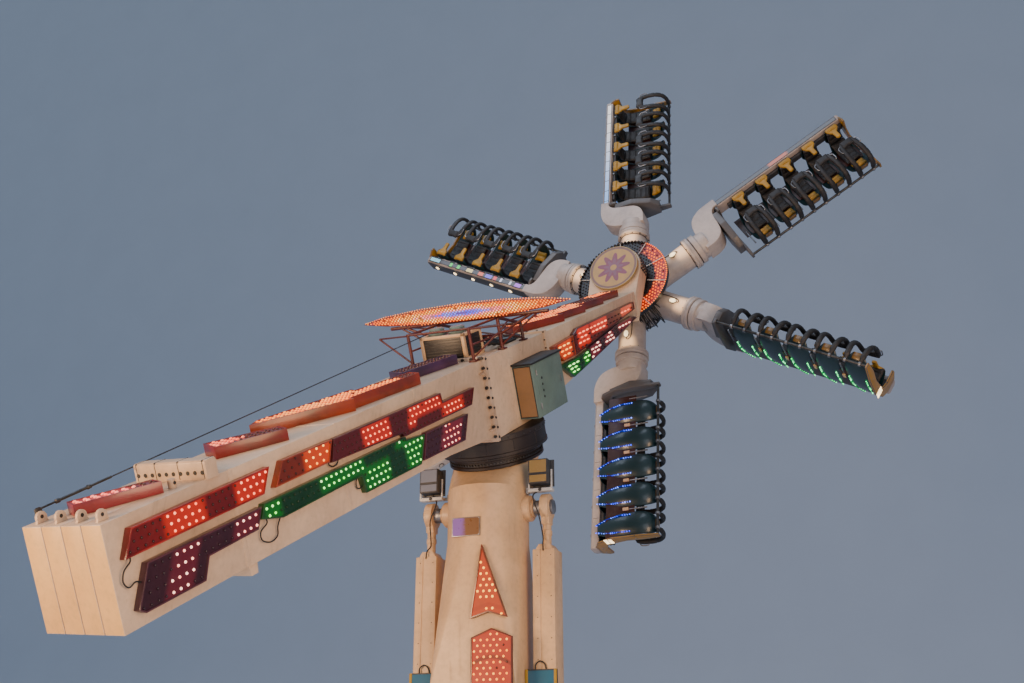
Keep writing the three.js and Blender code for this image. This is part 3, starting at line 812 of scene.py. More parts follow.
class Generator:
    """A Geometry Nodes tree with named inputs, used to make one plain mesh at a time."""

    title = "Generator"
    sockets: Tuple[Tuple[str, str], ...] = ()
    usual: Dict[str, Any] = {}

    def tree(self) -> bpy.types.NodeTree:
        """The node group, built on first use."""
        known = bpy.data.node_groups.get(self.title)
        if known is not None:
            return known
        made = bpy.data.node_groups.new(self.title, "GeometryNodeTree")
        made.interface.new_socket("Geometry", in_out="INPUT", socket_type="NodeSocketGeometry")
        made.interface.new_socket("Geometry", in_out="OUTPUT", socket_type="NodeSocketGeometry")
        for name, kind in self.sockets:
            made.interface.new_socket(name, in_out="INPUT", socket_type=kind)
        made.interface.new_socket("Finish", in_out="INPUT", socket_type="NodeSocketMaterial")
        board = Board(made)
        start = board.node("NodeGroupInput")
        ports = {socket.name: Wire(board, socket) for socket in start.outputs if socket.name}
        shape = self.grow(board, ports)
        solid = board.out("GeometryNodeRealizeInstances", None, {0: shape})
        dressed = board.out("GeometryNodeSetMaterial", None, {
            "Geometry": solid, "Material": ports["Finish"]})
        board.node("NodeGroupOutput", None, {0: dressed})
        return made

    def grow(self, board: Board, ports: Dict[str, Wire]) -> Wire:
        """Lays the tree's own nodes and returns its geometry."""
        raise NotImplementedError

    def run(self, source: bpy.types.Mesh, finish: Finish, **values: Any) -> bpy.types.Mesh:
        """Makes one plain mesh.

        Args:
            source: the mesh that the tree starts from; it is used up.
            finish: the finish for the whole result.
            values: the named inputs that aren't as usual, with _ for a space.

        Returns:
            The result as a mesh of its own.
        """
        carrier = stood("carrier", source)
        modifier = carrier.modifiers.new("Maker", "NODES")
        modifier.node_group = self.tree()
        wanted = {**self.usual, **values, "Finish": finish.material()}
        for item in modifier.node_group.interface.items_tree:
            key = item.name.replace(" ", "_")
            if item.item_type == "SOCKET" and item.in_out == "INPUT" and key in wanted:
                modifier[item.identifier] = wanted[key]
        return baked(carrier)


def polygons_mesh(outlines: Sequence[Sequence[Point2]]) -> bpy.types.Mesh:
    """A mesh of flat faces in the xy plane from their corners."""
    mesh = bpy.data.meshes.new("outline")
    corners = [(*p, 0.0) for outline in outlines for p in outline]
    faces, start = [], 0
    for outline in outlines:
        faces.append(list(range(start, start + len(outline))))
        start += len(outline)
    mesh.from_pydata(corners, [], faces)
    return mesh


def path_mesh(paths: Sequence[Sequence[Point3]], closed: bool = False) -> bpy.types.Mesh:
    """A mesh of edges only, one chain for each path."""
    mesh = bpy.data.meshes.new("path")
    corners: List[Point3] = []
    edges = []
    for path in paths:
        start = len(corners)
        corners.extend(tuple(p) for p in path)
        edges.extend((start + i, start + i + 1) for i in range(len(path) - 1))
        if closed:
            edges.append((start + len(path) - 1, start))
    mesh.from_pydata(corners, edges, [])
    return mesh


class BulbField(Generator):
    """Staggered rows of lamps that fill flat outlines, some of them lit."""

    spare = 0.6
    flat = 0.002
    touch = 0.003
    title = "Bulb field"
    sockets = (("Lit zones", "NodeSocketObject"), ("Pitch", "NodeSocketFloat"),
               ("Row", "NodeSocketFloat"), ("Row start", "NodeSocketFloat"),
               ("Radius", "NodeSocketFloat"), ("Margin", "NodeSocketFloat"),
               ("Stretch", "NodeSocketFloat"), ("Dead share", "NodeSocketFloat"),
               ("Lean", "NodeSocketFloat"))

    def grow(self, board: Board, ports: Dict[str, Wire]) -> Wire:
        """Lays a grid over the outlines, keeps what is inside and sets a lamp on each point."""
        bounds = board.node("GeometryNodeBoundBox", None, {0: ports["Geometry"]})
        (low_x, low_y), (high_x, high_y) = (
            [board.out("ShaderNodeSeparateXYZ", None, {0: Wire(board, bounds.outputs[corner])}, k)
             for k in range(2)] for corner in ("Min", "Max"))
        first = board.sums("FLOOR", (low_x - self.spare) / ports["Pitch"])
        first_row = board.sums("FLOOR", (low_y - ports["Row start"]) / ports["Row"])
        across = board.sums("FLOOR", (high_x - low_x + 2 * self.spare) / ports["Pitch"]) + 2
        rows = board.sums("FLOOR", (high_y - low_y) / ports["Row"]) + 3
        grid = board.out("GeometryNodeMeshGrid", None, {
            "Size X": 1.0, "Size Y": 1.0, "Vertices X": across, "Vertices Y": rows})
        index = board.out("GeometryNodeInputIndex")
        column = board.sums("FLOOR", (index + 0.5) / rows)
        row = index - column * rows + first_row
        odd = board.sums("MODULO", board.sums("ABSOLUTE", row), 2.0)
        height = row * ports["Row"] + ports["Row start"]
        along = (column + first + odd * 0.5) * ports["Pitch"] + height * ports["Lean"]
        laid = board.out("GeometryNodeSetPosition", None, {
            "Geometry": grid, "Position": board.join(along, height, 0.0)})
        face_way = self.away(board, ports["Geometry"], "FACES")
        edge_way = self.away(board, ports["Geometry"], "EDGES")
        outside = board.sums("MAXIMUM", face_way > self.flat, edge_way < ports["Margin"])
        kept = board.out("GeometryNodeDeleteGeometry", {"domain": "POINT"}, {
            "Geometry": laid, "Selection": outside > 0.5})
        zones = board.out("GeometryNodeObjectInfo", None, {"Object": ports["Lit zones"]},
                          "Geometry")
        chance = board.out("FunctionNodeRandomValue", {"data_type": "FLOAT"}, {
            "Seed": 7}, 1)
        lit = ((self.away(board, zones, "FACES") < self.touch)
               * (chance > ports["Dead share"]))
        marked = board.out("GeometryNodeStoreNamedAttribute", {
            "data_type": "FLOAT", "domain": "POINT"}, {
            "Geometry": kept, "Name": "lit", "Value": lit})
        lamp = board.out("GeometryNodeMeshUVSphere", None, {
            "Segments": 8, "Rings": 4, "Radius": ports["Radius"]})
        return board.out("GeometryNodeInstanceOnPoints", None, {
            "Points": marked, "Instance": lamp,
            "Scale": board.join(ports["Stretch"], 1.0, 0.8)})

    def away(self, board: Board, target: Wire, element: str) -> Wire:
        """How far a point lies from a shape's faces or edges."""
        return board.out("GeometryNodeProximity", {"target_element": element}, {
            0: target, "Source Position": board.out("GeometryNodeInputPosition")}, "Distance")


class PathRow(Generator):
    """Lamps, bolts or fins set evenly along paths, facing one way or away from a centre."""

    title = "Path row"
    sockets = (("Spacing", "NodeSocketFloat"), ("Radius", "NodeSocketFloat"),
               ("Height", "NodeSocketFloat"), ("Sides", "NodeSocketInt"),
               ("Way", "NodeSocketVector"), ("Centre", "NodeSocketVector"),
               ("Radial", "NodeSocketFloat"), ("Dome", "NodeSocketBool"),
               ("Lit", "NodeSocketFloat"), ("Jitter", "NodeSocketFloat"))
    usual = {"Height": 0.01, "Sides": 8, "Way": (0.0, 0.0, 1.0), "Centre": (0.0, 0.0, 0.0),
             "Radial": 0.0, "Dome": True, "Lit": 0.0, "Jitter": 0.05}

    def grow(self, board: Board, ports: Dict[str, Wire]) -> Wire:
        """Resamples the paths and sets one small solid on each point."""
        curve = board.out("GeometryNodeMeshToCurve", None, {0: ports["Geometry"]})
        even = board.out("GeometryNodeResampleCurve", {"mode": "LENGTH"}, {
            "Curve": curve, "Length": ports["Spacing"]})
        spots = board.out("GeometryNodeCurveToPoints", {"mode": "EVALUATED"}, {"Curve": even})
        place = board.out("GeometryNodeInputPosition")
        outward = board.vector("NORMALIZE", board.vector("SUBTRACT", place, ports["Centre"]))
        facing = board.out("ShaderNodeMix", {"data_type": "VECTOR"}, {
            0: ports["Radial"], 4: ports["Way"], 5: outward}, 1)
        turn = board.out("FunctionNodeAlignRotationToVector", {"axis": "Z"}, {
            "Vector": facing})
        marked = board.out("GeometryNodeStoreNamedAttribute", {
            "data_type": "FLOAT", "domain": "POINT"}, {
            "Geometry": spots, "Name": "lit", "Value": ports["Lit"]})
        bolt = board.out("GeometryNodeMeshCylinder", None, {
            "Vertices": ports["Sides"], "Radius": ports["Radius"], "Depth": ports["Height"]})
        lifted = board.out("GeometryNodeTransform", None, {
            "Geometry": bolt,
            "Translation": board.join(0.0, 0.0, ports["Height"] * 0.5)})
        dome = board.out("GeometryNodeMeshUVSphere", None, {
            "Segments": ports["Sides"], "Rings": 4, "Radius": ports["Radius"]})
        kind = board.out("GeometryNodeSwitch", {"input_type": "GEOMETRY"}, {
            "Switch": ports["Dome"], "False": lifted, "True": dome})
        scatter = board.out("FunctionNodeRandomValue", {"data_type": "FLOAT"}, {
            2: -1.0, 3: 1.0, "Seed": 5}, 1)
        return board.out("GeometryNodeInstanceOnPoints", None, {
            "Points": marked, "Instance": kind, "Rotation": turn,
            "Scale": scatter * ports["Jitter"] + 1.0})


class SeatRow(Generator):
    """One seat's part repeated along a row of seats."""

    title = "Seat row"
    sockets = (("Count", "NodeSocketInt"), ("First", "NodeSocketFloat"),
               ("Pitch", "NodeSocketFloat"))

    def grow(self, board: Board, ports: Dict[str, Wire]) -> Wire:
        """Sets the part on each point of a line."""
        line = board.out("GeometryNodeMeshLine", {"mode": "OFFSET"}, {
            "Count": ports["Count"], "Start Location": board.join(ports["First"], 0.0, 0.0),
            "Offset": board.join(ports["Pitch"], 0.0, 0.0)})
        return board.out("GeometryNodeInstanceOnPoints", None, {
            "Points": line, "Instance": ports["Geometry"]})


class RopeLay(Generator):
    """A wire rope: a lobed section swept along a path while it turns."""

    title = "Rope lay"
    sockets = (("Radius", "NodeSocketFloat"), ("Strands", "NodeSocketInt"),
               ("Lay length", "NodeSocketFloat"), ("Step", "NodeSocketFloat"))

    def grow(self, board: Board, ports: Dict[str, Wire]) -> Wire:
        """Sweeps the strands' outline with an even twist."""
        curve = board.out("GeometryNodeMeshToCurve", None, {0: ports["Geometry"]})
        even = board.out("GeometryNodeResampleCurve", {"mode": "LENGTH"}, {
            "Curve": curve, "Length": ports["Step"]})
        run = board.out("GeometryNodeSplineParameter", output="Length")
        twisted = board.out("GeometryNodeSetCurveTilt", None, {
            "Curve": even, "Tilt": run / ports["Lay length"] * FULL_TURN})
        section = board.out("GeometryNodeCurveStar", None, {
            "Points": ports["Strands"], "Inner Radius": ports["Radius"] * 0.72,
            "Outer Radius": ports["Radius"]})
        return board.out("GeometryNodeCurveToMesh", None, {
            "Curve": twisted, "Profile Curve": section, "Fill Caps": True})


def settle(name: str, mesh: bpy.types.Mesh, axes: Matrix, rides: str,
           smooth: bool = True) -> None:
    """Puts a generated mesh in its place as a piece of its own.

    Args:
        name: the piece's name.
        mesh: the mesh in local coordinates.
        axes: from local to world; it may mirror.
        rides: the body's name.
        smooth: rounds the shading.
    """
    mesh.transform(axes)
    if axes.determinant() < 0:
        mesh.flip_normals()
    mesh.name = name
    if smooth:
        mesh.shade_smooth()
    enlist(stood(name, mesh), rides, ())


def merged(meshes: Sequence[bpy.types.Mesh]) -> bpy.types.Mesh:
    """Several meshes with the same finish as one."""
    whole = bmesh.new()
    for mesh in meshes:
        whole.from_mesh(mesh)
    result = poured(whole, "merged")
    for material in meshes[0].materials:
        result.materials.append(material)
    return result


def arc_points(radius: float, start: float, end: float, steps: int, z: float = 0.0,
               middle: Point2 = (0.0, 0.0)) -> List[Point3]:
    """Points on an arc in the xy plane, from one angle to another in degrees."""
    found = []
    for i in range(steps + 1):
        angle = math.radians(start + (end - start) * i / steps)
        found.append((middle[0] + radius * math.cos(angle),
                      middle[1] + radius * math.sin(angle), z))
    return found


def curve_through(knots: Sequence[Point3], steps: int = 6) -> List[Point3]:
    """A smooth path through knots, with some steps between each pair."""
    points = [Vector(k) for k in knots]
    points = [2 * points[0] - points[1]] + points + [2 * points[-1] - points[-2]]
    path: List[Point3] = []
    for i in range(1, len(points) - 2):
        a, b, c, d = points[i - 1:i + 3]
        for k in range(steps):
            t = k / steps
            path.append(tuple(0.5 * (2 * b + (c - a) * t + (2 * a - 5 * b + 4 * c - d) * t * t
                                     + (3 * b - a - 3 * c + d) * t ** 3)))
    path.append(tuple(points[-2]))
    return path


@dataclass
class TowerBase:
    """Base frame, four outriggers and their jacks."""

    half: float = 1.5
    low: float = 0.30
    high: float = 0.85
    reach: float = 5.6
    rib_pitch: float = 0.34

    def build(self) -> None:
        """Builds and dresses the base."""
        self.build_frame()
        for index in range(4):
            self.build_outrigger(index)

    def build_frame(self) -> None:
        """The welded frame: deep side members, deck plate, ribs and the ground plate."""
        piece = Piece("base_frame_steel", WORLD, BASE_PAINT, DARK_STEEL)
        h = self.half
        piece.box((-h, -h, self.high - 0.05), (h, h, self.high), 0.008)
        piece.box((-h, -h, self.low), (h, h, self.low + 0.05), 0.008)
        piece.box((-h + 0.03, -h + 0.03, self.low), (h - 0.03, h - 0.03, self.high), 0.01)
        for side in (-1, 1):
            for k in range(-4, 5):
                x = k * self.rib_pitch
                near, far = sorted((side * (h - 0.04), side * (h - 0.004)))
                low, high = self.low + 0.02, self.high - 0.02
                piece.box((x - 0.02, near, low), (x + 0.02, far, high), 0.004)
                piece.box((near, x - 0.02, low), (far, x + 0.02, high), 0.004)
        piece.box((-0.7, -0.7, 0.0), (0.7, 0.7, self.low + 0.01), 0.02)
        piece.deliver("tower", "base_frame", slot="base_steel")

    def build_outrigger(self, index: int) -> None:
        """One leg: box beam with ribs, sleeve, screw jack and foot."""
        axes = WORLD.turned(45.0 + 90.0 * index, "Z")
        piece = Piece(f"outrigger_{index + 1}_steel", axes, BASE_PAINT, STEEL, DARK_STEEL)
        inner = self.half * math.sqrt(2.0)
        piece.slab([(-0.15, 0.42), (0.15, 0.42), (0.15, 0.74), (-0.15, 0.74)],
                   inner + 0.002 - 0.16, self.reach, "yz", 0.015)
        for k in range(6):
            x = inner + 0.25 + 0.5 * k
            piece.slab([(-0.158, 0.412), (0.158, 0.412), (0.158, 0.748), (-0.158, 0.748)],
                       x, x + 0.03, "yz", 0.004)
        r = self.reach
        piece.lathe([(0.17, 0.35), (0.21, 0.36), (0.21, 0.42), (0.19, 0.44), (0.19, 0.70),
                     (0.21, 0.72), (0.21, 0.79), (0.17, 0.80)], (r, 0, 0), (0, 0, 1), 32)
        piece.lathe([(0.09, 0.06), (0.11, 0.08), (0.11, 1.02), (0.08, 1.05)],
                    (r, 0, 0), (0, 0, 1), 28, 1)
        piece.lathe([(0.41, 0.0), (0.42, 0.012), (0.42, 0.03), (0.22, 0.05), (0.15, 0.07),
                     (0.0, 0.07)], (r, 0, 0), (0, 0, 1), 40)
        piece.rod((r - 0.26, 0, 0.62), (r - 0.19, 0, 0.62), 0.05, 16, 2)
        piece.deliver("tower", f"outrigger_{index + 1}", slot="base_steel")


PIN_HEIGHT = 6.85


@dataclass
class TowerColumn:
    """The column: square foot, faceted change to a round neck, leaning head, pins and panels."""

    half_x: float = 0.70
    half_y: float = 0.62
    radius: float = 0.66
    foot: float = 0.8503
    square_top: float = 4.15
    round_low: float = 6.30
    neck: float = 7.19
    head: float = 0.739
    head_low: float = -0.7503
    back: float = -0.655
    front: float = -0.705
    ease: float = 0.03

    def build(self) -> None:
        """Builds and dresses the column and what is fixed on it."""
        self.build_body()
        self.build_plate()
        self.build_arrow()
        self.build_lower_panel()

    def square_at(self, share: float, z: float, step: int, sides: int) -> Vector:
        """A point round the column, square where share is 0 and round where it is 1.

        The points of a quarter gather in the square's eased corner, and only the first of each
        lies at the middle of a side, so each side runs up into one long triangle.
        """
        angle = FULL_TURN * step / sides
        a, b = math.cos(angle), math.sin(angle)
        x, y = a * self.radius, b * self.radius
        if share < 0.5 and step % (sides // 4) == 0:
            x, y = round(a) * self.half_x, round(b) * self.half_y
        elif share < 0.5:
            x = math.copysign(self.half_x - self.ease, a) + a * self.ease
            y = math.copysign(self.half_y - self.ease, b) + b * self.ease
        return Vector((x, y, z))

    def build_body(self) -> None:
        """The plated column with its collar seams, pins and lugs."""
        piece = Piece("tower_column_shell", WORLD, CREAM, STEEL)
        part = bmesh.new()
        sides = 48
        levels = [(self.foot, 0.0), (self.square_top, 0.0), (self.round_low, 1.0),
                  (self.neck - 0.02, 1.0)]
        rings = [[part.verts.new(self.square_at(share, z, i, sides)) for i in range(sides)]
                 for z, share in levels]
        centre = RING.at(0, 0, self.head_low)
        head = []
        for i in range(sides):
            angle = FULL_TURN * i / sides
            head.append(part.verts.new(centre + RING.axis(0) * (self.head * math.cos(angle))
                                       + RING.axis(1) * (self.head * math.sin(angle))))
        rings.append(head)
        skin(part, *rings)
        cap(part, rings[0], rings[-1])
        piece.take(part)
        for side in (-1, 1):
            for start, end, radius, steps, slot, edge in (
                    (0.60, 0.76, 0.21, 40, 0, 0.02), (0.70, 0.80, 0.15, 32, 0, 0.01),
                    (0.76, 1.12, 0.12, 32, 1, 0.012)):
                piece.rod((side * start, 0, PIN_HEIGHT), (side * end, 0, PIN_HEIGHT), radius, steps,
                          slot, edge)
        for corner_x in (-0.62, -0.50, 0.50, 0.62):
            for y in (-self.half_y, self.half_y):
                piece.box((corner_x - 0.02, y - 0.012, self.foot + 0.02),
                          (corner_x + 0.02, y + 0.012, self.foot + 0.6), 0.006)
        piece.deliver("tower", "tower_column", slot="tower_cream")

    def build_plate(self) -> None:
        """The small two-tone plate high on the front, and its four screws."""
        plate = PlateFace("Plate enamel", centre=-0.11)
        piece = Piece("tower_plate", WORLD, plate, STEEL)
        piece.slab([(-0.355, 6.335), (0.115, 6.335), (0.115, 6.635), (-0.355, 6.635)],
                   -0.63, -0.674, "xz", 0.003, 1, 0.008, 0.002, 0)
        for x in (-0.335, 0.095):
            for z in (6.355, 6.615):
                piece.rod((x, -0.66, z), (x, -0.6745, z), 0.009, 8, 1, 0.0)
        piece.deliver("tower", slot="tower_cream")

    def tray(self, name: str, outline: Sequence[Point2], rim: Finish, face: Finish, node: str,
             slot: str) -> None:
        """A lamp panel's box on the column's front, with a rim and a sunk face."""
        piece = Piece(name, WORLD, rim, face)
        piece.slab(outline, self.back, self.front, "xz", 0.004, 0, 0.016, 0.012, 1)
        piece.deliver("tower", node, slot=slot)

    def build_arrow(self) -> None:
        """The triangular lamp panel with its two-part face."""
        outline = [(-0.02, 5.06), (0.275, 5.15), (0.585, 5.06), (0.155, 6.19)]
        rim = LampBox("Arrow rim", tone=(0.30, 0.05, 0.02))
        self.tray("arrow_lamp_box", outline, rim, ArrowGlow("Arrow face"), "arrow_lamp_panel",
                  "panel_yellow")
        lamps = Bulb("Arrow lamps", light=(1.0, 0.34, 0.01), core=(1.0, 0.62, 0.10), power=2.0)
        low = [(0.015, 5.08), (0.275, 5.165), (0.55, 5.08), (0.525, 5.165), (0.275, 5.255),
               (0.03, 5.165)]
        high = [(0.045, 5.27), (0.275, 5.325), (0.48, 5.27), (0.158, 6.12)]
        fill_panel("arrow_lamps", "tower", lamps, [low, high], [low, high], self.front + 0.010,
                   pitch=0.098, row=0.088, start=5.115, radius=0.021, margin=0.012)

    def build_lower_panel(self) -> None:
        """The tall lamp panel with arched bands of lamps."""
        outline = [(0.0, 2.30), (0.665, 2.30), (0.665, 4.78), (0.33, 4.91), (0.0, 4.78)]
        rim = LampBox("Lower rim", tone=(0.22, 0.035, 0.02))
        self.tray("tower_light_box", outline, rim, ArcBands("Lower face"), "tower_light_panel",
                  "panel_red")
        lamps = Bulb("Lower lamps", light=(1.0, 0.26, 0.01), core=(1.0, 0.50, 0.08), power=1.7)
        field_outline = [(0.025, 2.32), (0.64, 2.32), (0.64, 4.76), (0.33, 4.88), (0.025, 4.76)]
        fill_panel("tower_light_lamps", "tower", lamps, [field_outline], [field_outline],
                   self.front + 0.010, pitch=0.105, row=0.082, start=2.36, radius=0.019,
                   margin=0.014)


@dataclass(frozen=True)
class ArrowGlow(Finish):
    """The arrow's face: orange sheet with a darker band between its two fields."""

    power: float = 0.34

    def lay(self, board: Board) -> Dict[str, Any]:
        """The values and wires for the shader's sockets."""
        x, _, z = board.local(WORLD)
        cloud = board.noise(board.place(), 9.0, 3.0)
        fold = board.sums("ABSOLUTE", x - 0.275) * 0.3
        band = board.ease(board.sums("ABSOLUTE", z + fold - 5.265), 0.05, 0.015)
        glow = board.mix(band, (1.0, 0.055, 0.0), (0.70, 0.018, 0.0))
        return {
            "Base Color": (0.22, 0.020, 0.001), "Roughness": cloud * 0.15 + 0.4,
            "Emission Color": board.tint(glow, cloud * 0.6 + 0.6),
            "Emission Strength": self.power}


@dataclass(frozen=True)
class ArcBands(Finish):
    """The lower panel's face: red sheet crossed by darker arches."""

    power: float = 0.30
    spacing: float = 0.42

    def lay(self, board: Board) -> Dict[str, Any]:
        """The values and wires for the shader's sockets."""
        x, _, z = board.local(WORLD)
        cloud = board.noise(board.place(), 7.0, 3.0)
        off = x - 0.33
        arch = z + off * off * 1.1
        cycle = board.sums("FRACT", (arch - 4.28) / self.spacing)
        line = board.ease(board.sums("ABSOLUTE", cycle - 0.5), 0.10, 0.04)
        glow = board.mix(line, (1.0, 0.020, 0.0), (0.45, 0.003, 0.0))
        glow = board.mix(board.ease(cloud, 0.45, 0.65) * 0.5, glow, (1.0, 0.050, 0.0))
        return {
            "Base Color": board.mix(line, (0.20, 0.008, 0.001), (0.08, 0.004, 0.001)),
            "Roughness": cloud * 0.15 + 0.4,
            "Emission Color": glow, "Emission Strength": self.power}


def fill_panel(name: str, rides: str, lamps: Finish, outlines: Sequence[Sequence[Point2]],
               zones: Sequence[Sequence[Point2]], face: float, pitch: float, row: float,
               start: float, radius: float, margin: float) -> None:
    """Sets lamps on an upright panel that faces -Y, its outlines given in x and z."""
    across = Matrix(((1, 0, 0, 0), (0, 0, -1, face), (0, 1, 0, 0), (0, 0, 0, 1)))
    lamp_field(name, rides, lamps, outlines, zones, across, pitch, row, start, radius, margin)


def lamp_field(name: str, rides: str, lamps: Finish, outlines: Sequence[Sequence[Point2]],
               zones: Sequence[Sequence[Point2]], axes: Matrix, pitch: float, row: float,
               start: float, radius: float, margin: float, stretch: float = 1.0,
               dead: float = 0.03, lean: float = 0.0) -> None:
    """Fills outlines with lamps and delivers them as one piece.

    Args:
        name: the piece's name.
        rides: its body.
        lamps: the lamps' finish.
        outlines: the fields to fill, in the panel's plane.
        zones: the parts that are lit.
        axes: from the panel's plane, its third axis outwards, to the world.
        pitch: the step along a row.
        row: the step between rows.
        start: where one of the rows lies.
        radius: the lamps' radius.
        margin: the free edge inside an outline.
        stretch: the lamps' length as a share of their width.
        dead: the share of lamps that don't shine.
        lean: how far the rows shift along for each unit of height.
    """
    lit = stood("lit_zones", polygons_mesh(zones))
    mesh = BulbField().run(
        polygons_mesh(outlines), lamps, Lit_zones=lit, Pitch=pitch, Row=row, Row_start=start,
        Radius=radius, Margin=margin, Stretch=stretch, Dead_share=dead, Lean=lean)
    bpy.data.objects.remove(lit)
    settle(name, mesh, axes, rides)


@dataclass
class SideStrut:
    """One of the two struts beside the column, with its lug, rod and hinge cable."""

    side: int
    half: float = 0.18
    depth: float = 0.20
    top: float = 6.15
    lead: float = 0.011

    @property
    def tag(self) -> str:
        """left or right, as seen from the front."""
        return "left" if self.side < 0 else "right"

    def build(self) -> None:
        """Builds and dresses the strut, its screen and its floodlight."""
        self.build_strut()
        self.build_screen()
        self.build_floodlight()
        self.build_cable()

    def build_strut(self) -> None:
        """Box strut with a vertical seam, sloped cap, rod and rounded lug."""
        x = self.side * 1.0
        piece = Piece(f"side_strut_{self.tag}_shell", WORLD, CREAM, STEEL, DARK_STEEL)
        seam = 0.012
        for a, b in ((-self.half, -0.055), (-0.055 + seam, self.half)):
            piece.box((x + a, -self.depth, 0.8503), (x + b, self.depth, self.top), 0.012)
        piece.box((x - self.half + 0.01, -self.depth + 0.012, 0.86),
                  (x + self.half - 0.01, self.depth - 0.012, self.top - 0.01), 0.004)
        piece.slab([(x - 0.14, self.top - 0.005), (x + 0.14, self.top - 0.005),
                    (x + 0.13, self.top + 0.03), (x + 0.09, self.top + 0.088),
                    (x - 0.09, self.top + 0.088), (x - 0.13, self.top + 0.03)],
                   -0.16, 0.16, "xz", 0.006)
        piece.lathe([(0.070, self.top + 0.08), (0.070, 6.38), (0.082, 6.40), (0.082, 6.46),
                     (0.070, 6.48), (0.070, 6.66)], (x, 0, 0), UP, 28)
        outline = [p[:2] for p in arc_points(0.212, -60, 240, 24, 0.0, (0.0, PIN_HEIGHT))]
        outline += [(-0.085, 6.56), (0.085, 6.56)]
        low, high = x - 0.068, x + 0.068
        piece.slab(outline, low, high, "yz", 0.012)
        piece.rod((high - 0.01 if self.side > 0 else low + 0.01, 0, PIN_HEIGHT),
                  (x + self.side * 0.078, 0, PIN_HEIGHT), 0.155, 32)
        piece.deliver("tower", f"side_strut_{self.tag}", slot="tower_cream")
        paths = [[(x + dx, -self.depth - 0.0005, 1.0), (x + dx, -self.depth - 0.0005, 6.05)]
                 for dx in (-0.10, 0.12)]
        rivets = PathRow().run(path_mesh(paths), DARK_STEEL, Spacing=0.31, Radius=0.009,
                               Way=(0.0, -1.0, 0.0), Jitter=0.1)
        settle(f"side_strut_{self.tag}_rivets", rivets, WORLD.matrix, "tower")

    def build_screen(self) -> None:
        """The blue side screen in its yellow frame."""
        x = self.side * 0.96
        face = Moulded("Screen sheet", tone=(0.022, 0.115, 0.19), gloss=0.25, coat=0.4)
        edge = Moulded("Screen frame", tone=(0.34, 0.20, 0.012), gloss=0.35, coat=0.2)
        piece = Piece(f"side_screen_{self.tag}_panel", WORLD, face, edge, LAMP_BODY)
        piece.slab([(x - 0.25, 2.10), (x + 0.25, 2.10), (x + 0.25, 4.33), (x - 0.25, 4.33)],
                   -0.2003, -0.254, "xz", 0.004)
        for side in (-1, 1):
            a, b = sorted((x + side * 0.25, x + side * 0.205))
            piece.box((a, -0.26, 2.10), (b, -0.21, 4.33), 0.004, 1)
        for z in (2.10, 4.312):
            piece.box((x - 0.204, -0.2595, z), (x + 0.204, -0.21, z + 0.018), 0.003, 2)
        piece.deliver("tower", f"side_screen_{self.tag}", slot="screen_blue")
        loop = Piece(f"side_screen_{self.tag}_lead", WORLD, RUBBER)
        knots = [(x - 0.09, -0.235, 4.318), (x - 0.085, -0.235, 4.40), (x - 0.02, -0.225, 4.45),
                 (x + 0.05, -0.222, 4.41), (x + 0.07, -0.215, 4.345), (x + 0.075, -0.205, 4.32)]
        loop.tube(curve_through(knots, 5), self.lead, 8)
        loop.deliver("tower")

    def build_floodlight(self) -> None:
        """Finned lamp body, rim, glass and bracket on the column's neck."""
        x = self.side * 0.95
        kind, tone = (("warm", (0.30, 0.20, 0.07)) if self.side > 0
                      else ("cool", (0.16, 0.17, 0.21)))
        glass = Moulded(f"Flood glass {kind}", tone=tone, gloss=0.15, coat=0.6)
        white = Painted("Bracket white", tone=(0.62, 0.62, 0.60), shade=(0.45, 0.45, 0.44))
        piece = Piece(f"floodlight_{self.tag}_lamp", WORLD, LAMP_BODY, glass, white)
        piece.box((x - 0.165, -0.294, 7.18), (x + 0.165, -0.085, 7.58), 0.018)
        for k in range(7):
            dx = -0.15 + 0.05 * k
            piece.box((x + dx - 0.006, -0.065, 7.20), (x + dx + 0.006, -0.015, 7.56), 0.003)
        piece.slab([(x - 0.205, 7.16), (x + 0.205, 7.16), (x + 0.205, 7.60), (x - 0.205, 7.60)],
                   -0.09, -0.061, "xz", 0.004, 0)
        for low, high in ((7.19, 7.33), (7.345, 7.575)):
            piece.slab([(x - 0.155, low), (x + 0.155, low), (x + 0.155, high), (x - 0.155, high)],
                       -0.288, -0.2999, "xz", 0.004, 0, 0.008, 0.002, 1)
        a, b = sorted((self.side * 0.69, x + self.side * 0.05))
        piece.box((a, -0.055, 7.09), (b, 0.005, 7.14), 0.008, 2)
        a, b = sorted((self.side * 0.665, self.side * 0.72))
        piece.box((a, -0.06, 7.08), (b, 0.01, 7.18), 0.006, 2)
        for dx in (-0.19, 0.19):
            piece.box((x + dx - 0.012, -0.185, 7.10), (x + dx + 0.012, -0.16, 7.42), 0.004, 2)
        piece.box((x - 0.20, -0.195, 7.075), (x + 0.20, -0.062, 7.125), 0.006, 2)
        piece.rod((x, -0.196, 7.10), (x, -0.21, 7.10), 0.028, 14, 0, 0.004)
        piece.deliver("tower", f"floodlight_{self.tag}", slot="lamp_black")

    def build_cable(self) -> None:
        """The lamp's thin lead, tied down to the strut."""
        x = self.side
        piece = Piece(f"floodlight_{self.tag}_lead", WORLD, RUBBER)
        knots = [(x * 0.96, -0.10, 7.185), (x * 0.90, -0.12, 7.10), (x * 0.84, -0.20, 7.02),
                 (x * 0.86, -0.235, 6.90), (x * 0.93, -0.235, 6.72), (x * 0.955, -0.15, 6.50),
                 (x * 0.965, -0.10, 6.34), (x * 0.99, -0.19, 6.24), (x * 1.0, -0.212, 6.12)]
        piece.tube(curve_through(knots, 5), self.lead, 8)
        piece.deliver("tower")


class Flank(Enum):
    """The boom's two long sides; the value is the sign of y."""

    RIGHT = -1
    LEFT = 1

    @property
    def tag(self) -> str:
        """right or left, as the parts are named."""
        return self.name.lower()


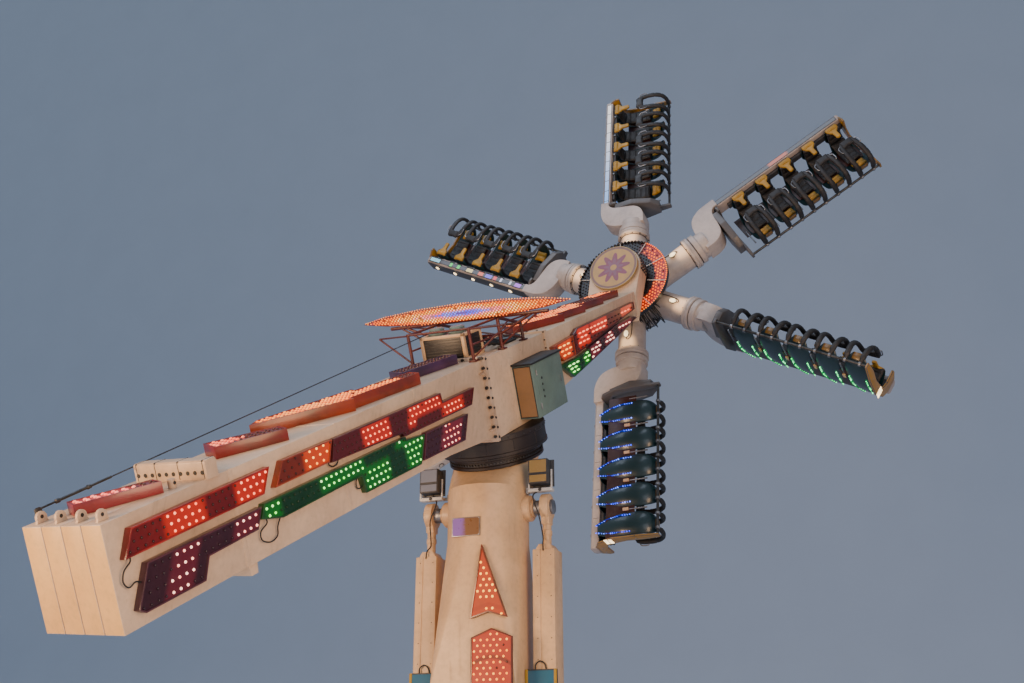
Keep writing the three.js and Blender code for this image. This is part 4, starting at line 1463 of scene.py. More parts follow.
REAR_END, REAR_FLANGE, FRONT_FLANGE = -8.84, -1.024, 1.3
REAR_LONG, FRONT_LONG = 7.816, 4.75
REAR_HALF, MIDDLE_HALF, FRONT_NARROWING = 0.56, 0.62, 0.08


def side_at(x: float) -> float:
    """Half the boom's width at a place along it."""
    if x < REAR_FLANGE:
        return REAR_HALF + 0.06 * (x - REAR_END) / REAR_LONG
    if x < FRONT_FLANGE:
        return MIDDLE_HALF
    return MIDDLE_HALF - FRONT_NARROWING * (x - FRONT_FLANGE) / FRONT_LONG


def flank_axes(flank: Flank, x: float) -> Matrix:
    """From a flank's plane (along, up, outwards) to the world, on the boom's side near x."""
    slope = side_at(x + 0.1) * 10 - side_at(x) * 10
    base = side_at(x) - slope * x
    sign = float(flank.value)
    plane = Matrix(((1, 0, 0, 0), (sign * slope, 0, sign, sign * base), (0, 1, 0, 0), (0, 0, 0, 1)))
    return BOOM.matrix @ plane


@dataclass(frozen=True)
class Palette:
    """A light box's colours: its tray, glowing face, lamps when lit and glasses when dark."""

    tray: Colour
    glow: Colour
    light: Colour
    core: Colour
    slot: str = "panel_red"
    glass: Colour = (0.05, 0.012, 0.008)


@dataclass(frozen=True)
class PanelSpec:
    """One coloured light box: its outline, colours, lit zones and lamp rows."""

    name: str
    outline: Tuple[Point2, ...]
    colours: Palette
    zones: Tuple[Tuple[float, ...], ...]
    node: str = ""
    pitch: float = 0.105
    row: float = 0.088
    start: float = 0.76
    stretch: float = 1.0
    lean: float = 0.25
    face_power: float = 0.6


def zone_corners(zone: Tuple[float, ...]) -> List[Point2]:
    """A lit zone's corners; a fifth number leans its ends."""
    lean = zone[4] if len(zone) > 4 else 0.0
    rise = (zone[3] - zone[2]) * lean
    return [(zone[0], zone[2]), (zone[1], zone[2]), (zone[1] + rise, zone[3]),
            (zone[0] + rise, zone[3])]


RED_GLOW, RED_LIGHT, RED_CORE = (1.0, 0.030, 0.0), (1.0, 0.13, 0.05), (1.0, 0.34, 0.18)
PURPLE_TRAY, PURPLE_GLOW, PINK_CORE = (0.070, 0.012, 0.022), (0.35, 0.015, 0.03), (1.0, 0.66, 0.52)
RED = Palette((0.30, 0.008, 0.002), RED_GLOW, RED_LIGHT, RED_CORE)
DARK_RED = Palette((0.085, 0.006, 0.006), RED_GLOW, RED_LIGHT, RED_CORE)
ORANGE = Palette((0.36, 0.045, 0.006), (1.0, 0.07, 0.0), (1.0, 0.28, 0.02), (1.0, 0.55, 0.12),
                 "panel_orange")
GREEN = Palette((0.006, 0.065, 0.006), (0.0, 0.25, 0.0), (0.22, 1.0, 0.10), (0.60, 1.0, 0.38),
                "panel_green", (0.008, 0.035, 0.008))
PURPLE = Palette(PURPLE_TRAY, PURPLE_GLOW, (1.0, 0.36, 0.26), PINK_CORE, "panel_purple",
                 (0.03, 0.010, 0.016))
DULL_PURPLE = Palette(PURPLE_TRAY, PURPLE_GLOW, RED_LIGHT, PINK_CORE, "panel_purple",
                      (0.04, 0.010, 0.014))

FLANK_PANELS = (
    PanelSpec("rear_red", ((-8.71, 0.71), (-6.58, 0.70), (-6.41, 0.98), (-8.56, 0.99)),
              RED,
              ((-8.10, -7.54, 0.72, 1.0), (-7.0, -6.48, 0.72, 1.0)), "band_rear_upper"),
    PanelSpec("rear_orange", ((-6.37, 0.71), (-5.31, 0.705), (-5.18, 0.965), (-6.17, 0.98)),
              ORANGE,
              ((-5.75, -5.24, 0.72, 1.0),), pitch=0.14, face_power=0.7),
    PanelSpec("rear_dark_red",
              ((-5.26, 0.685), (-3.64, 0.62), (-3.60, 0.565), (-1.69, 0.545), (-1.54, 0.785),
               (-2.49, 0.785), (-2.51, 0.925), (-5.15, 0.96)),
              DARK_RED,
              ((-4.52, -3.92, 0.66, 0.96), (-3.38, -2.58, 0.76, 0.93), (-3.42, -3.28, 0.66, 0.75),
               (-2.52, -1.93, 0.57, 0.80)), start=0.70),
    PanelSpec("rear_purple",
              ((-8.68, 0.17), (-8.60, 0.115), (-7.73, 0.11), (-7.61, 0.34), (-6.79, 0.35),
               (-6.67, 0.58), (-8.45, 0.59)),
              PURPLE,
              ((-8.31, -7.95, 0.12, 0.60, 0.58), (-7.2, -6.82, 0.36, 0.6, 0.55)),
              "band_rear_lower", row=0.118, start=0.17, lean=0.58, face_power=0.35),
    PanelSpec("rear_green",
              ((-6.71, 0.44), (-6.34, 0.34), (-4.72, 0.345), (-4.68, 0.11), (-3.32, 0.09),
               (-3.11, 0.47), (-3.59, 0.52), (-3.59, 0.56), (-6.62, 0.60)),
              GREEN,
              ((-6.60, -6.36, 0.38, 0.58), (-5.54, -4.64, 0.40, 0.58), (-4.62, -4.08, 0.13, 0.40),
               (-3.84, -3.66, 0.47, 0.56), (-3.62, -3.18, 0.12, 0.48)),
              row=0.092, start=0.16, face_power=0.5),
    PanelSpec("rear_dark_purple", ((-3.24, 0.12), (-2.06, 0.09), (-1.85, 0.45), (-3.07, 0.48)),
              DULL_PURPLE,
              ((-2.76, -2.22, 0.12, 0.47, 0.59),), row=0.092, start=0.16, lean=0.59,
              face_power=0.5),
    PanelSpec("front_orange", ((1.78, 0.49), (2.34, 0.486), (2.34, 0.86), (1.40, 0.82)),
              ORANGE,
              ((1.66, 2.20, 0.55, 0.83),), "band_front_upper", stretch=4.2, pitch=0.19,
              start=0.58, face_power=0.8),
    PanelSpec("front_red",
              ((2.38, 0.49), (5.69, 0.79), (5.68, 0.945), (2.59, 0.945), (2.38, 0.87)),
              DARK_RED,
              ((2.58, 3.12, 0.60, 0.93), (3.25, 4.05, 0.74, 0.94), (4.95, 5.5, 0.80, 0.95)),
              stretch=4.2, pitch=0.19, start=0.66, face_power=0.8),
    PanelSpec("front_green",
              ((2.11, 0.13), (3.0, 0.235), (2.98, 0.485), (2.40, 0.44), (1.60, 0.445)),
              GREEN,
              ((1.98, 2.44, 0.18, 0.44), (2.70, 2.98, 0.24, 0.48)), "band_front_lower",
              stretch=4.2, pitch=0.19, row=0.07, start=0.22, face_power=0.5),
    PanelSpec("front_purple",
              ((3.03, 0.24), (4.76, 0.46), (5.75, 0.60), (5.50, 0.675), (4.62, 0.665),
               (3.02, 0.51)),
              PURPLE,
              ((3.08, 3.55, 0.28, 0.54), (3.85, 4.3, 0.38, 0.62), (4.66, 5.38, 0.53, 0.68)),
              stretch=4.2, pitch=0.19, row=0.07, start=0.30, face_power=0.5),
)


@dataclass
class FlankLights:
    """The zigzag light boxes along one flank, with their lamps and leads."""

    flank: Flank
    deep: float = 0.0895
    stand: float = 0.0004
    sunk: float = 0.010
    lamp: float = 0.0170
    margin: float = 0.028
    dead: float = 0.04
    power: float = 2.4

    def build(self) -> None:
        """Builds every box, its lamps and the black leads between them."""
        for spec in FLANK_PANELS:
            self.build_panel(spec)
        self.build_leads()

    def build_panel(self, spec: PanelSpec) -> None:
        """One folded tray with its rim, sunk face and lamps."""
        axes = flank_axes(self.flank, (spec.outline[0][0] + spec.outline[2][0]) / 2)
        colours = spec.colours
        rim = LampBox(f"Rim {spec.name}", tone=tuple(1.7 * c + 0.015 for c in colours.tray))
        face = LampBox(f"Face {spec.name}", tone=tuple(0.5 * c for c in colours.tray),
                       glow=colours.glow, zones=spec.zones, power=spec.face_power)
        tag = self.flank.tag
        piece = Piece(f"{spec.name}_box_{tag}", Frame(axes), rim, face)
        piece.slab(spec.outline, self.stand, self.deep, "xy", 0.004, 0, 0.014, 0.012, 1)
        nodes = (f"{spec.node}_{tag}",) if spec.node else ()
        piece.deliver("boom", *nodes, slot=colours.slot)
        lamps = Bulb(f"Lamps {spec.name}", glass=colours.glass, light=colours.light,
                     core=colours.core, power=self.power)
        lamp_field(f"{spec.name}_lamps_{tag}", "boom", lamps, [spec.outline],
                   [zone_corners(z) for z in spec.zones],
                   axes @ Matrix.Translation((0, 0, self.deep - self.sunk)), spec.pitch,
                   spec.row, spec.start, self.lamp, self.margin, spec.stretch, self.dead, spec.lean)

    def build_leads(self) -> None:
        """Short black loops where the leads enter the boxes."""
        axes = Frame(flank_axes(self.flank, -5.0))
        piece = Piece(f"flank_leads_{self.flank.tag}", axes, RUBBER)
        loops = (
            ((-8.62, 0.70, 0.05), (-8.64, 0.66, 0.055), (-8.73, 0.60, 0.05), (-8.76, 0.50, 0.04),
             (-8.70, 0.42, 0.035), (-8.62, 0.45, 0.05), (-8.55, 0.42, 0.045)),
            ((-6.60, 0.42, 0.05), (-6.60, 0.36, 0.05), (-6.72, 0.30, 0.045), (-6.72, 0.20, 0.04),
             (-6.58, 0.13, 0.035), (-6.45, 0.16, 0.035), (-6.42, 0.26, 0.04), (-6.36, 0.35, 0.05)),
            ((-5.28, 0.70, 0.04), (-5.27, 0.66, 0.035), (-5.2, 0.62, 0.03), (-5.12, 0.62, 0.03),
             (-5.08, 0.66, 0.035), (-5.06, 0.70, 0.04)),
            ((-4.75, 0.36, 0.04), (-4.80, 0.30, 0.035), (-4.80, 0.22, 0.03), (-4.74, 0.19, 0.03),
             (-4.66, 0.21, 0.04)),
        )
        for knots in loops:
            piece.tube(curve_through(knots, 5), 0.0085, 8)
        piece.deliver("boom")


@dataclass(frozen=True)
class TopSpec:
    """One light box on the top face."""

    node: str
    outline: Tuple[Point2, ...]
    height: float
    colours: Palette
    zones: Tuple[Tuple[float, ...], ...]


TOP_BOXES = (
    TopSpec("top_light_rear", ((-8.56, 0.09), (-7.80, -0.40), (-7.70, -0.17), (-8.43, 0.33)), 0.13,
            Palette((0.40, 0.040, 0.050), RED_GLOW, (1.0, 0.12, 0.08), (1.0, 0.36, 0.26),
                    "panel_pink"), ((-8.5, -7.95, -0.20, 0.35),)),
    TopSpec("top_light_second", ((-6.48, 0.03), (-5.72, -0.46), (-5.56, -0.20), (-6.24, 0.42)),
            0.15, Palette((0.30, 0.012, 0.008), RED_GLOW, RED_LIGHT, RED_CORE),
            ((-6.5, -6.0, -0.05, 0.45),)),
    TopSpec("top_light_middle",
            ((-5.48, 0.33), (-4.26, -0.45), (-4.18, -0.34), (-2.70, -0.52), (-2.56, -0.26),
             (-3.65, -0.04), (-3.56, 0.08), (-5.20, 0.44)), 0.17,
            Palette((0.42, 0.048, 0.006), (1.0, 0.07, 0.002), (1.0, 0.18, 0.01),
                    (1.0, 0.46, 0.10), "panel_orange"), ((-5.3, -3.0, -0.5, 0.42),)),
    TopSpec("top_light_inner", ((-2.45, -0.06), (-1.20, -0.30), (-1.13, -0.02), (-2.25, 0.30)),
            0.15, Palette((0.11, 0.040, 0.13), (0.4, 0.1, 0.6), (0.7, 0.4, 1.0),
                          (0.9, 0.8, 1.0), "panel_purple"), ()),
    TopSpec("top_light_front",
            ((1.42, 0.02), (2.50, -0.50), (2.60, -0.30), (3.50, -0.50), (3.60, -0.29),
             (4.50, -0.47), (4.62, -0.25), (5.50, -0.40), (5.42, -0.06), (4.70, 0.12),
             (4.60, -0.03), (3.70, 0.18), (3.60, 0.02), (2.70, 0.25), (2.60, 0.08), (1.70, 0.36)),
            0.14, Palette((0.32, 0.025, 0.006), (1.0, 0.05, 0.002), (1.0, 0.15, 0.02),
                          (1.0, 0.42, 0.12)),
            ((1.6, 3.9, -0.5, 0.35), (4.7, 5.3, -0.4, 0.0))),
)


@dataclass
class TopLights:
    """The five light boxes that stand on the boom's top face."""

    face_power: float = 0.6
    power: float = 1.5
    pitch: float = 0.10
    row: float = 0.075
    lamp: float = 0.0195
    margin: float = 0.03
    nowhere: Tuple[Point2, ...] = ((0, 9), (0.1, 9), (0.1, 9.1))

    def build(self) -> None:
        """Builds each box with its lamps."""
        for spec in TOP_BOXES:
            colours = spec.colours
            rim = LampBox(f"Rim {spec.node}", tone=colours.tray)
            face = LampBox(f"Face {spec.node}", tone=tuple(0.5 * c for c in colours.tray),
                           glow=colours.glow, zones=spec.zones, flank=False,
                           power=self.face_power)
            piece = Piece(f"{spec.node}_box", BOOM, rim, face)
            top = DECK + spec.height
            piece.slab(spec.outline, DECK + 0.0004, top, "xy", 0.004, 0, 0.014, 0.010, 1)
            piece.deliver("boom", spec.node, slot=colours.slot)
            lamps = Bulb(f"Lamps {spec.node}", light=colours.light, core=colours.core,
                         power=self.power)
            zones = [zone_corners(z) for z in spec.zones] or [self.nowhere]
            plane = BOOM.matrix @ Matrix.Translation((0, 0, top - 0.008))
            lamp_field(f"{spec.node}_lamps", "boom", lamps, [spec.outline], zones, plane,
                       self.pitch, self.row, 0.0, self.lamp, self.margin, 1.3, lean=-0.3)


@dataclass
class Counterweight:
    """The rear box: four slabs, lifting lugs and the pierced cross bar."""

    rear: float = -8.84
    seam: float = -7.0
    bottom: float = -0.025
    half: float = 0.56

    def build(self) -> None:
        """Builds and dresses the counterweight."""
        piece = Piece("counterweight_slabs", BOOM, BOOM_PAINT, DARK_STEEL, REAR_FACE_LIT_PAINT, RUBBER)
        width = self.half / 2
        end = side_at(self.seam)
        for k in range(4):
            a = -self.half + k * width
            c = a / self.half * end
            d = (a + width) / self.half * end
            gap = 0.004
            self.slab(piece, a + gap, a + width - gap, c + gap, d - gap)
        piece.box((self.rear + 0.03, -self.half + 0.02, self.bottom + 0.02),
                  (self.seam - 0.02, self.half - 0.02, DECK - 0.015), 0.004, 1)
        for y in (-0.43, -0.15, 0.15, 0.43):
            self.lug(piece, y)
        self.cross_bar(piece)
        piece.rod((-7.62, -0.35, DECK - 0.01), (-7.62, -0.35, DECK + 0.10), 0.045, 20)
        piece.rod((-7.62, -0.39, DECK + 0.055), (-7.62, -0.399, DECK + 0.055), 0.02, 12, 1, 0.002)
        piece.deliver("boom", "counterweight_box", slot="boom_cream")
        self.small_lamp()

    def slab(self, piece: Piece, a: float, b: float, c: float, d: float) -> None:
        """One upright slab from the rear face to the seam, eased along its edges."""
        ends = [[(x, y, z) for y, z in (
            (y0, self.bottom), (y1, self.bottom), (y1, DECK), (y0, DECK))]
            for x, y0, y1 in ((self.rear, a, b), (self.seam, c, d))]
        part = prism(*ends)
        for index, face in enumerate(part.faces):
            # The rear end face gets the painted warm light; the other faces keep the plain boom
            # paint.
            face.material_index = 0 if index else 2
        ease_edges(part, 0.007, 2)
        piece.take(part, keep=True)

    def lug(self, piece: Piece, y: float) -> None:
        """A rounded lifting eye."""
        x, z = self.rear + 0.15, DECK + 0.05
        outer = [(x + 0.066 * math.cos(math.radians(a)), z + 0.070 * math.sin(math.radians(a)))
                 for a in range(-20, 201, 20)]
        outer += [(x - 0.085, DECK - 0.01), (x + 0.085, DECK - 0.01)]
        part = Piece("lug", WORLD)
        part.slab(outer, y - 0.018, y + 0.018, "xz", 0.005)
        piece.mesh(part.plain())
        piece.lathe([(0.0, -0.0193), (0.017, -0.0193), (0.021, -0.0185), (0.021, 0.0185),
                     (0.017, 0.0193), (0.0, 0.0193)], (x, y, z + 0.012), (0, 1, 0), 20, 1)

    def cross_bar(self, piece: Piece) -> None:
        """The bar across the top with its row of dark holes and strap lines."""
        x0, x1, top = -7.34, -7.16, DECK + 0.21
        piece.slab([(x0, DECK - 0.01), (x1, DECK - 0.01), (x1, top - 0.02), (x1 - 0.02, top),
                    (x0 + 0.02, top), (x0, top - 0.02)], -0.60, 0.46, "xz", 0.006)
        for k in range(10):
            y = -0.54 + 0.105 * k
            piece.lathe([(0.0, -0.002), (0.019, -0.002), (0.024, 0.0), (0.024, 0.006),
                         (0.0, 0.006)], (x0 + 0.001, y, DECK + 0.075), (-1, 0, 0), 18, 3)
        for y in (-0.56, -0.2, 0.14, 0.42):
            piece.box((x0 - 0.003, y - 0.004, DECK + 0.005), (x1 + 0.003, y + 0.004, top + 0.0025),
                      0.002, 1)

    def small_lamp(self) -> None:
        """The little lamp that stands beside the cross bar."""
        glass = Moulded("Small lamp glass", tone=(0.28, 0.26, 0.22), gloss=0.1, coat=0.8)
        piece = Piece("counterweight_lamp", BOOM, LAMP_BODY, glass, STEEL)
        x, y, z = -7.17, -0.42, DECK + 0.001
        piece.rod((x, y, z), (x, y, z + 0.07), 0.012, 12, 2)
        piece.box((x - 0.05, y - 0.06, z + 0.06), (x + 0.04, y + 0.06, z + 0.155), 0.008)
        piece.box((x - 0.058, y - 0.05, z + 0.07), (x - 0.048, y + 0.05, z + 0.145), 0.003, 1)
        piece.deliver("boom")


# The counterweight's rear end face: the boom's cream paint made brighter and more orange as painted
# warm light; its grime and rust are real wear.
REAR_FACE_LIT_PAINT = Painted("Rear slab paint", tone=(0.78, 0.46, 0.15), shade=(0.68, 0.38, 0.12),
                     grime=0.12, rusting=0.12)
RUSTY_PAINT = Painted("Flange paint", tone=(0.64, 0.50, 0.38), shade=(0.45, 0.31, 0.20),
                      dirt=(0.22, 0.10, 0.04), rust=(0.30, 0.11, 0.03), grime=0.8, rusting=0.9)


@dataclass
class BoomBox:
    """Rear beam, centre housing and front beam with their bolted flanges."""

    def tapered(self, piece: Piece, outline: Sequence[Point2], edge: float) -> None:
        """A plated box whose sides follow the boom's taper."""
        part = prism([(x, -side_at(x), z) for x, z in outline],
                     [(x, side_at(x), z) for x, z in outline])
        ease_edges(part, edge, 3)
        piece.take(part)

    def seam(self, piece: Piece, x: float, low: float, high: float, proud: float = 0.004) -> None:
        """A raised weld strap round the sides and top."""
        w = side_at(x)
        piece.box((x - 0.03, -w - proud, low), (x + 0.03, w + proud, high + proud), 0.002)

    def build(self) -> None:
        """Builds and dresses the three boxes and their bolts."""
        rear = Piece("rear_beam_box", BOOM, BOOM_PAINT, RUSTY_PAINT, DARK_STEEL)
        self.tapered(rear, [(-6.9997, -0.025), (-2.4, -0.045), (-1.0243, -0.14),
                            (-1.0243, DECK), (-6.9997, DECK)], 0.014)
        for x in (-6.955, -4.95, -3.05):
            self.seam(rear, x, -0.02, DECK)
        rear.box((-1.064, -0.69, -0.21), (-1.0243, 0.69, 1.165), 0.006, 1)
        for side in (-1, 1):
            for z in (0.0, 0.9):
                y0, y1 = sorted((side * 0.615, side * 0.675))
                rear.box((-1.19, y0, z), (-1.06, y1, z + 0.02), 0.004, 1)
        rear.slab([(-6.94, -0.02), (-6.78, -0.02), (-6.80, -0.155), (-6.92, -0.155)],
                  -0.54, 0.54, "xz", 0.01)
        rear.box((-6.90, -0.50, -0.1565), (-6.82, 0.50, -0.150), 0.002, 2)
        rear.deliver("boom", "rear_beam", slot="boom_cream")

        centre = Piece("centre_housing_box", BOOM, BOOM_PAINT, RUSTY_PAINT, DARK_STEEL)
        centre.box((-1.024, -0.62, -0.20), (1.3, 0.62, DECK), 0.02)
        centre.box((-1.024, -0.69, -0.21), (-0.984, 0.69, 1.165), 0.006, 1)
        centre.box((1.26, -0.66, -0.07), (1.2999, 0.66, 1.155), 0.006, 0)
        centre.box((-0.96, -0.45, DECK - 0.004), (1.24, 0.45, DECK + 0.006), 0.003)
        centre.box((-0.20, -0.626, -0.15), (0.0, -0.615, 0.95), 0.003)
        centre.box((-0.75, 0.615, 0.15), (0.35, 0.628, 0.85), 0.006)
        centre.deliver("boom", "centre_housing", slot="boom_cream")

        front = Piece("front_beam_box", BOOM, BOOM_PAINT, RUSTY_PAINT, DARK_STEEL)
        self.tapered(front, [(1.3003, -0.03), (6.05, 0.595), (6.05, DECK), (1.3003, DECK)], 0.014)
        front.box((1.3003, -0.66, -0.07), (1.34, 0.66, 1.155), 0.006, 0)
        self.seam(front, 5.86, 0.60, DECK, 0.003)
        front.deliver("boom", "front_beam", slot="boom_cream")
        self.build_bolts()

    def build_bolts(self) -> None:
        """The black flange bolts, down both sides and along the top."""
        back, up = (-1.0, 0.0, 0.0), (0.0, 0.0, 1.0)
        rows = [
            self.bolts([[(-1.0645, s * 0.657, -0.12), (-1.0645, s * 0.657, 1.14)]
                        for s in (-1, 1)], 0.155, 0.026, 0.03, 6, back),
            self.bolts([[(-1.0645, -0.62, 1.142), (-1.0645, 0.62, 1.142)]],
                       0.155, 0.024, 0.03, 6, back),
            self.bolts([[(-1.02, s * 0.6905, -0.14), (-1.02, s * 0.6905, 1.12)]
                        for s in (-1, 1)], 0.155, 0.022, 0.012, 10, (0.0, 1.0, 0.0), True),
            self.bolts([[(1.3, -0.50, 1.1545), (1.3, 0.50, 1.1545)]],
                       0.2, 0.020, 0.012, 8, up),
            self.bolts([[(1.2555, s * 0.642, 0.0), (1.2555, s * 0.642, 1.13)]
                        for s in (-1, 1)], 0.14, 0.014, 0.02, 6, back),
        ]
        settle("flange_bolts", merged(rows), BOOM.matrix, "boom", smooth=False)

    def bolts(self, paths: Sequence[Sequence[Point3]], spacing: float, radius: float,
              height: float, sides: int, way: Point3, dome: bool = False) -> bpy.types.Mesh:
        """Bolt heads along paths, facing one way."""
        return PathRow().run(path_mesh(paths), DARK_STEEL, Spacing=spacing, Radius=radius,
                             Height=height, Sides=sides, Way=way, Dome=dome)


@dataclass
class SlewingParts:
    """The slewing ring on the tower and the dark skirt that turns above it."""

    def build(self) -> None:
        """Builds and dresses both rings."""
        ring = Piece("slewing_ring_gear", RING, RING_PAINT, DARK_STEEL)
        ring.lathe([(0.72, -0.75), (0.79, -0.75), (0.80, -0.74), (0.80, -0.70), (0.775, -0.69),
                    (0.775, -0.62), (0.79, -0.61), (0.79, -0.57), (0.78, -0.56), (0.72, -0.56)],
                   sides=96)
        ring.deliver("tower", "slewing_ring", slot="ring_steel")
        teeth = PathRow().run(path_mesh([arc_points(0.775, 0, 360, 96, -0.655)]), DARK_STEEL,
                              Spacing=0.055, Radius=0.018, Height=0.024, Sides=4,
                              Centre=(0.0, 0.0, -0.655), Radial=1.0, Dome=False, Jitter=0.0)
        settle("slewing_ring_teeth", teeth, RING.matrix, "tower", smooth=False)
        skirt = Piece("slewing_skirt_shell", RING, RING_PAINT, DARK_STEEL)
        skirt.lathe([(0.80, -0.5594), (0.875, -0.5594), (0.90, -0.545), (0.90, -0.50),
                     (0.888, -0.49), (0.888, -0.30), (0.90, -0.29), (0.90, -0.22),
                     (0.89, -0.2006), (0.80, -0.2006)], sides=96)
        for c, s in circle(12, 30, 11):
            skirt.rod((0.886 * c, 0.886 * s, -0.485), (0.886 * c, 0.886 * s, -0.305), 0.008, 8)
        skirt.deliver("boom", "slewing_skirt", slot="skirt_brown")
        bolts = PathRow().run(path_mesh([arc_points(0.9005, 0, 360, 96, -0.255)]), DARK_STEEL,
                              Spacing=0.14, Radius=0.012, Centre=(0.0, 0.0, -0.255),
                              Radial=1.0, Jitter=0.0)
        settle("slewing_skirt_bolts", bolts, RING.matrix, "boom")


@dataclass
class ControlCabinet:
    """The switch cabinet on the housing's side, tan at the rear and teal outside."""

    def build(self) -> None:
        """Builds and dresses the cabinet."""
        piece = Piece("control_cabinet_box", BOOM, TEAL_PAINT, TAN_PAINT, RUBBER, STEEL)
        piece.box((-0.095, -0.985, -0.10), (1.05, -0.6204, 0.80), 0.012)
        piece.slab([(-0.97, -0.085), (-0.635, -0.085), (-0.635, 0.785), (-0.97, 0.785)],
                   -0.085, -0.0998, "yz", 0.006, 2, 0.014, 0.003, 1)
        piece.box((-0.13, -1.01, 0.795), (1.08, -0.6204, 0.83), 0.008, 2)
        piece.slab([(0.03, -0.07), (0.99, -0.07), (0.99, 0.77), (0.03, 0.77)],
                   -0.98, -0.9895, "xz", 0.003, 0)
        for k in range(4):
            z = 0.52 - 0.105 * k
            piece.rod((0.20, -0.985, z), (0.20, -0.9978, z), 0.022, 16, 2, 0.004)
        for z in (0.08, 0.64):
            piece.rod((0.03, -0.993, z - 0.05), (0.03, -0.993, z + 0.05), 0.012, 12, 3, 0.003)
        piece.box((0.90, -0.9985, 0.30), (0.93, -0.985, 0.42), 0.004, 3)
        for x in (0.1, 0.9):
            piece.box((x - 0.04, -0.70, -0.135), (x + 0.04, -0.6204, -0.095), 0.004, 3)
        piece.deliver("boom", "control_cabinet", slot="cabinet_teal")
        leads = Piece("cabinet_leads", BOOM, RUBBER)
        for k in range(4):
            x = 0.72 + 0.06 * k
            knots = [(x, -0.80, -0.095), (x, -0.80, -0.13), (x + 0.05, -0.76, -0.17),
                     (x + 0.06, -0.70, -0.15), (x + 0.05, -0.64, -0.11)]
            leads.tube(curve_through(knots, 5), 0.012, 8)
        leads.deliver("boom")


@dataclass
class DriveUnit:
    """The slewing drive on the top: framed box, two motors and their hoses."""

    def build(self) -> None:
        """Builds and dresses the drive unit."""
        dark = Painted("Drive panels", tone=(0.022, 0.020, 0.020), shade=(0.010, 0.010, 0.010),
                       dirt=(0.07, 0.05, 0.04), rusting=0.1)
        piece = Piece("drive_unit_box", BOOM, CREAM, dark, DARK_STEEL, STEEL, TEAL_PAINT)
        z0, z1 = DECK + 0.0004, DECK + 0.43
        piece.box((-0.915, -0.305, z0 + 0.01), (-0.345, 0.485, z1 - 0.012), 0.004, 1)
        for x in (-0.93, -0.39):
            for y in (-0.32, 0.44):
                piece.box((x, y, z0), (x + 0.06, y + 0.06, z1), 0.006, 0)
        for y in (-0.32, 0.44):
            for z in (z0, z1 - 0.05):
                piece.box((-0.93, y, z), (-0.33, y + 0.06, z + 0.05), 0.006, 0)
        for x in (-0.93, -0.38):
            piece.box((x, -0.32, z1 - 0.05), (x + 0.05, 0.50, z1), 0.006, 0)
        for k in range(7):
            z = z0 + 0.07 + 0.045 * k
            piece.box((-0.865, -0.316, z), (-0.395, -0.30, z + 0.014), 0.003, 2)
            piece.box((-0.9285, -0.25, z), (-0.91, 0.43, z + 0.014), 0.003, 2)
        for y in (0.32, -0.06):
            piece.lathe([(0.15, z1 - 0.01), (0.15, z1 + 0.02), (0.125, z1 + 0.03),
                         (0.125, z1 + 0.08), (0.105, z1 + 0.10), (0.0, z1 + 0.105)],
                        (-0.64, y, 0), (0, 0, 1), 36, 4)
        piece.deliver("boom", "drive_unit", slot="lamp_black")
        hoses = Piece("drive_hoses", BOOM, RUBBER, TOOTH_BLACK)
        for k in range(5):
            y = -0.20 + 0.13 * k
            knots = [(-0.36, y, z0 + 0.22), (-0.27, y, z0 + 0.24),
                     (-0.10 + 0.03 * k, y - 0.05, z0 + 0.20 + 0.015 * k),
                     (0.10 + 0.04 * k, y - 0.09, z0 + 0.10),
                     (0.22 + 0.04 * k, y - 0.10, z0 + 0.035),
                     (0.40 + 0.04 * k, y - 0.09, z0 + 0.027)]
            hoses.tube(curve_through(knots), 0.022, 10, k % 2)
        for k in range(3):
            y = -0.30 - 0.045 * k
            knots = [(-0.34, -0.28, z0 + 0.10), (-0.24, y, z0 + 0.13),
                     (0.0, y - 0.02, z0 + 0.15 - 0.03 * k), (0.22, y, z0 + 0.10),
                     (0.34, y + 0.02, z0 + 0.028), (0.7, y + 0.02, z0 + 0.024)]
            hoses.tube(curve_through(knots), 0.019)
        hoses.lathe([(0.19, 0.0), (0.235, 0.02), (0.235, 0.05), (0.19, 0.07), (0.155, 0.05),
                     (0.155, 0.02)], (0.88, -0.12, z0 + 0.001), (0, 0, 1), 40, 1, True)
        hoses.deliver("boom")


@dataclass(frozen=True)
class SignFace(Finish):
    """The sign board's face: bands of coloured light from the rim to the middle."""

    power: float = 0.40

    def lay(self, board: Board) -> Dict[str, Any]:
        """The values and wires for the shader's sockets."""
        _, y, z = board.local(NameSign().axes())
        across, up = y / 1.95, z / 0.15
        reach = board.sums("SQRT", across * across + up * up)
        cloud = board.noise(board.place(), 9.0, 3.0)
        stops = ((0.0, (0.04, 0.08, 1.0)), (0.20, (0.35, 0.25, 1.0)), (0.34, (1.0, 0.30, 0.20)),
                 (0.50, (1.0, 0.34, 0.03)), (0.76, (1.0, 0.14, 0.01)), (1.0, (0.85, 0.02, 0.005)))
        ramp = board.out("ShaderNodeValToRGB", {"stops": stops}, {0: reach + cloud * 0.25 - 0.12})
        ends = board.ease(board.sums("ABSOLUTE", across), 0.88, 0.97)
        glow = board.mix(ends, ramp, (0.55, 0.04, 0.75))
        return {
            "Base Color": board.mix(0.8, glow, (0.10, 0.03, 0.01)),
            "Roughness": cloud * 0.2 + 0.25, "Emission Color": glow,
            "Emission Strength": self.power}


